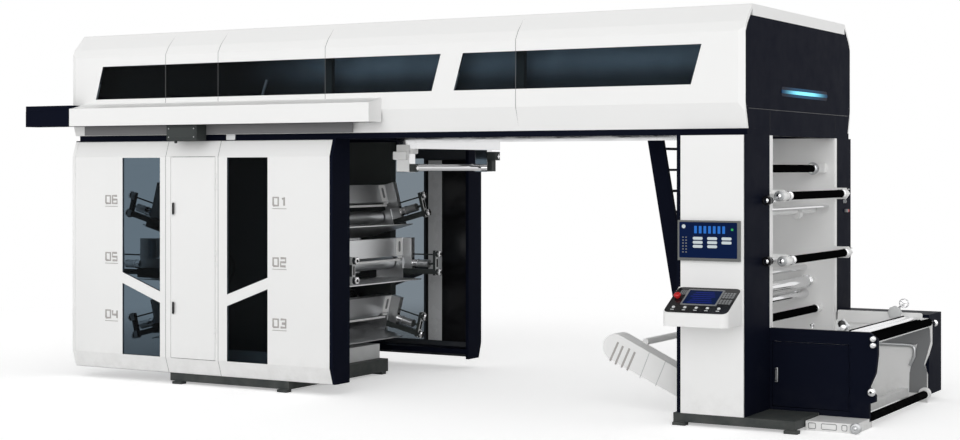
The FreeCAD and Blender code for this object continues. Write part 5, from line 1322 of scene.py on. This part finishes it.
# Painted shade: a dark plate behind each lid stands for the shade in the pocket's recess.
pockets = [slab((left, FRAME_FRONT - 0.002, 0.018), (right, FRAME_FRONT, 0.076), 0.014, 0.0008)
           for left, right in FRAME_POCKETS]
lids = [slab((left + 0.006, FRAME_FRONT - 0.004, 0.024),
             (right - 0.006, FRAME_FRONT - 0.001, 0.070), 0.010, 0.0012)
        for left, right in FRAME_POCKETS]
caster = turned([(-0.012, 0.030), (-0.010, 0.046), (0.0, 0.052), (0.030, 0.052), (0.040, 0.042),
                 (0.041, 0.030), (0.034, 0.026), (0.034, 0.016), (0.046, 0.014), (0.050, 0.006)],
                (0.985, FRAME_FRONT - 0.004, 0.053), (0, -1, 0), 32)
make_piece("lower_frame_pockets", pockets, bezel_grey)
make_piece("lower_frame_lids", lids, white_paint)
make_piece("lower_frame_wheel", [caster], aluminium)
print("pockets:", len(pockets), "lids:", len(lids))

# %% [markdown]
# The reel arm's cover is a folded white shell with four air slots near its round end and two fold
# lines. A slot is a flat dark capsule on the face, painted shade for the opening, and a fold line a
# thin grey strip, painted shade for the crease, on both outer faces of the arm.

# %% Reel arm
ARM_SLOTS = (((-1.511, 0.704), (-1.601, 0.513)), ((-1.458, 0.668), (-1.543, 0.480)),
             ((-1.386, 0.648), (-1.476, 0.452)), ((-1.328, 0.615), (-1.414, 0.427)))
ARM_FOLDS = (((-1.170, 0.617), (-1.275, 0.359)), ((-0.988, 0.561), (-1.105, 0.292)))
arm_low, arm_high = corner_box("reel_arm")
# Painted shade: dark capsules for the slots' openings and grey strips for the creases.
slots, folds = [], []
for y in (arm_low[1] - 0.0002, arm_high[1] + 0.0002):
    for lines, made, half in ((ARM_SLOTS, slots, 0.011), (ARM_FOLDS, folds, 0.004)):
        for start, end in lines:
            way = np.linspace(0.0, 1.0, 5)[:, None]
            flat = np.array(start) + (np.array(end) - start) * way
            path = np.column_stack([flat[:, 0], np.full(5, y), flat[:, 1]])
            made.append(tube(path, half, 0.0012))
make_piece("reel_arm_slots", slots, number_grey)
make_piece("reel_arm_folds", folds, pale_paint)
print("slots:", len(slots), "folds:", len(folds))

# %% [markdown]
# The inspection unit hangs under the bridge: white end brackets with bevelled blocks, dark
# housings with a bright knob, and small screws along the beam.

# %% Inspection unit
UNIT_LEFT, UNIT_RIGHT, UNIT_NEAR, UNIT_FAR = -4.33, -4.17, 0.76, 2.60
white_parts = [slab((UNIT_LEFT, UNIT_NEAR - 0.012, 2.405), (UNIT_RIGHT, UNIT_NEAR, 2.70), 0.012),
               slab((UNIT_LEFT - 0.02, UNIT_NEAR - 0.06, 2.535),
                    (UNIT_RIGHT - 0.01, UNIT_NEAR - 0.012, 2.625), 0.012, 0.006),
               slab((UNIT_RIGHT, UNIT_NEAR + 0.01, 2.60),
                    (UNIT_RIGHT + 0.04, UNIT_NEAR + 0.12, 2.70), 0.01, 0.004)]
dark_parts = [slab((UNIT_RIGHT, low_y, low_z), (UNIT_RIGHT + wide, high_y, high_z), 0.008)
              for low_y, low_z, wide, high_y, high_z in (
                  (UNIT_NEAR + 0.015, 2.402, 0.05, UNIT_NEAR + 0.105, 2.49),
                  (UNIT_FAR - 0.13, 2.535, 0.11, UNIT_FAR, 2.636),
                  (UNIT_FAR - 0.10, 2.405, 0.05, UNIT_FAR, 2.535))]
bright = [turned([(0.0, 0.020), (0.012, 0.022), (0.020, 0.018)], place, (1, 0, 0), 24, 4, 0.3)
          for place in ((UNIT_RIGHT + 0.05, UNIT_NEAR + 0.06, 2.446),
                        (UNIT_RIGHT + 0.11, UNIT_FAR - 0.065, 2.580))]
bright += [screw((UNIT_RIGHT + 0.11, y, 2.765), (1, 0, 0), 0.007)
           for y in np.linspace(UNIT_NEAR + 0.1, UNIT_FAR - 0.1, 9)]
bars = [tube([(x, y, z) for y in np.linspace(UNIT_NEAR + 0.12, UNIT_FAR - 0.12, 3)], radius)
        for x, z, radius in ((-4.205, 2.488, 0.014), (-4.19, 2.425, 0.010))]
make_piece("inspection_brackets", white_parts, white_paint)
make_piece("inspection_housings", dark_parts, grey_paint)
make_piece("inspection_knobs", bright, polished)
make_piece("inspection_bars", bars, gloss_black)
print("inspection unit parts:", len(white_parts + dark_parts + bright + bars))

# %% [markdown]
# The outer size of the solids is written down once, before dressing.
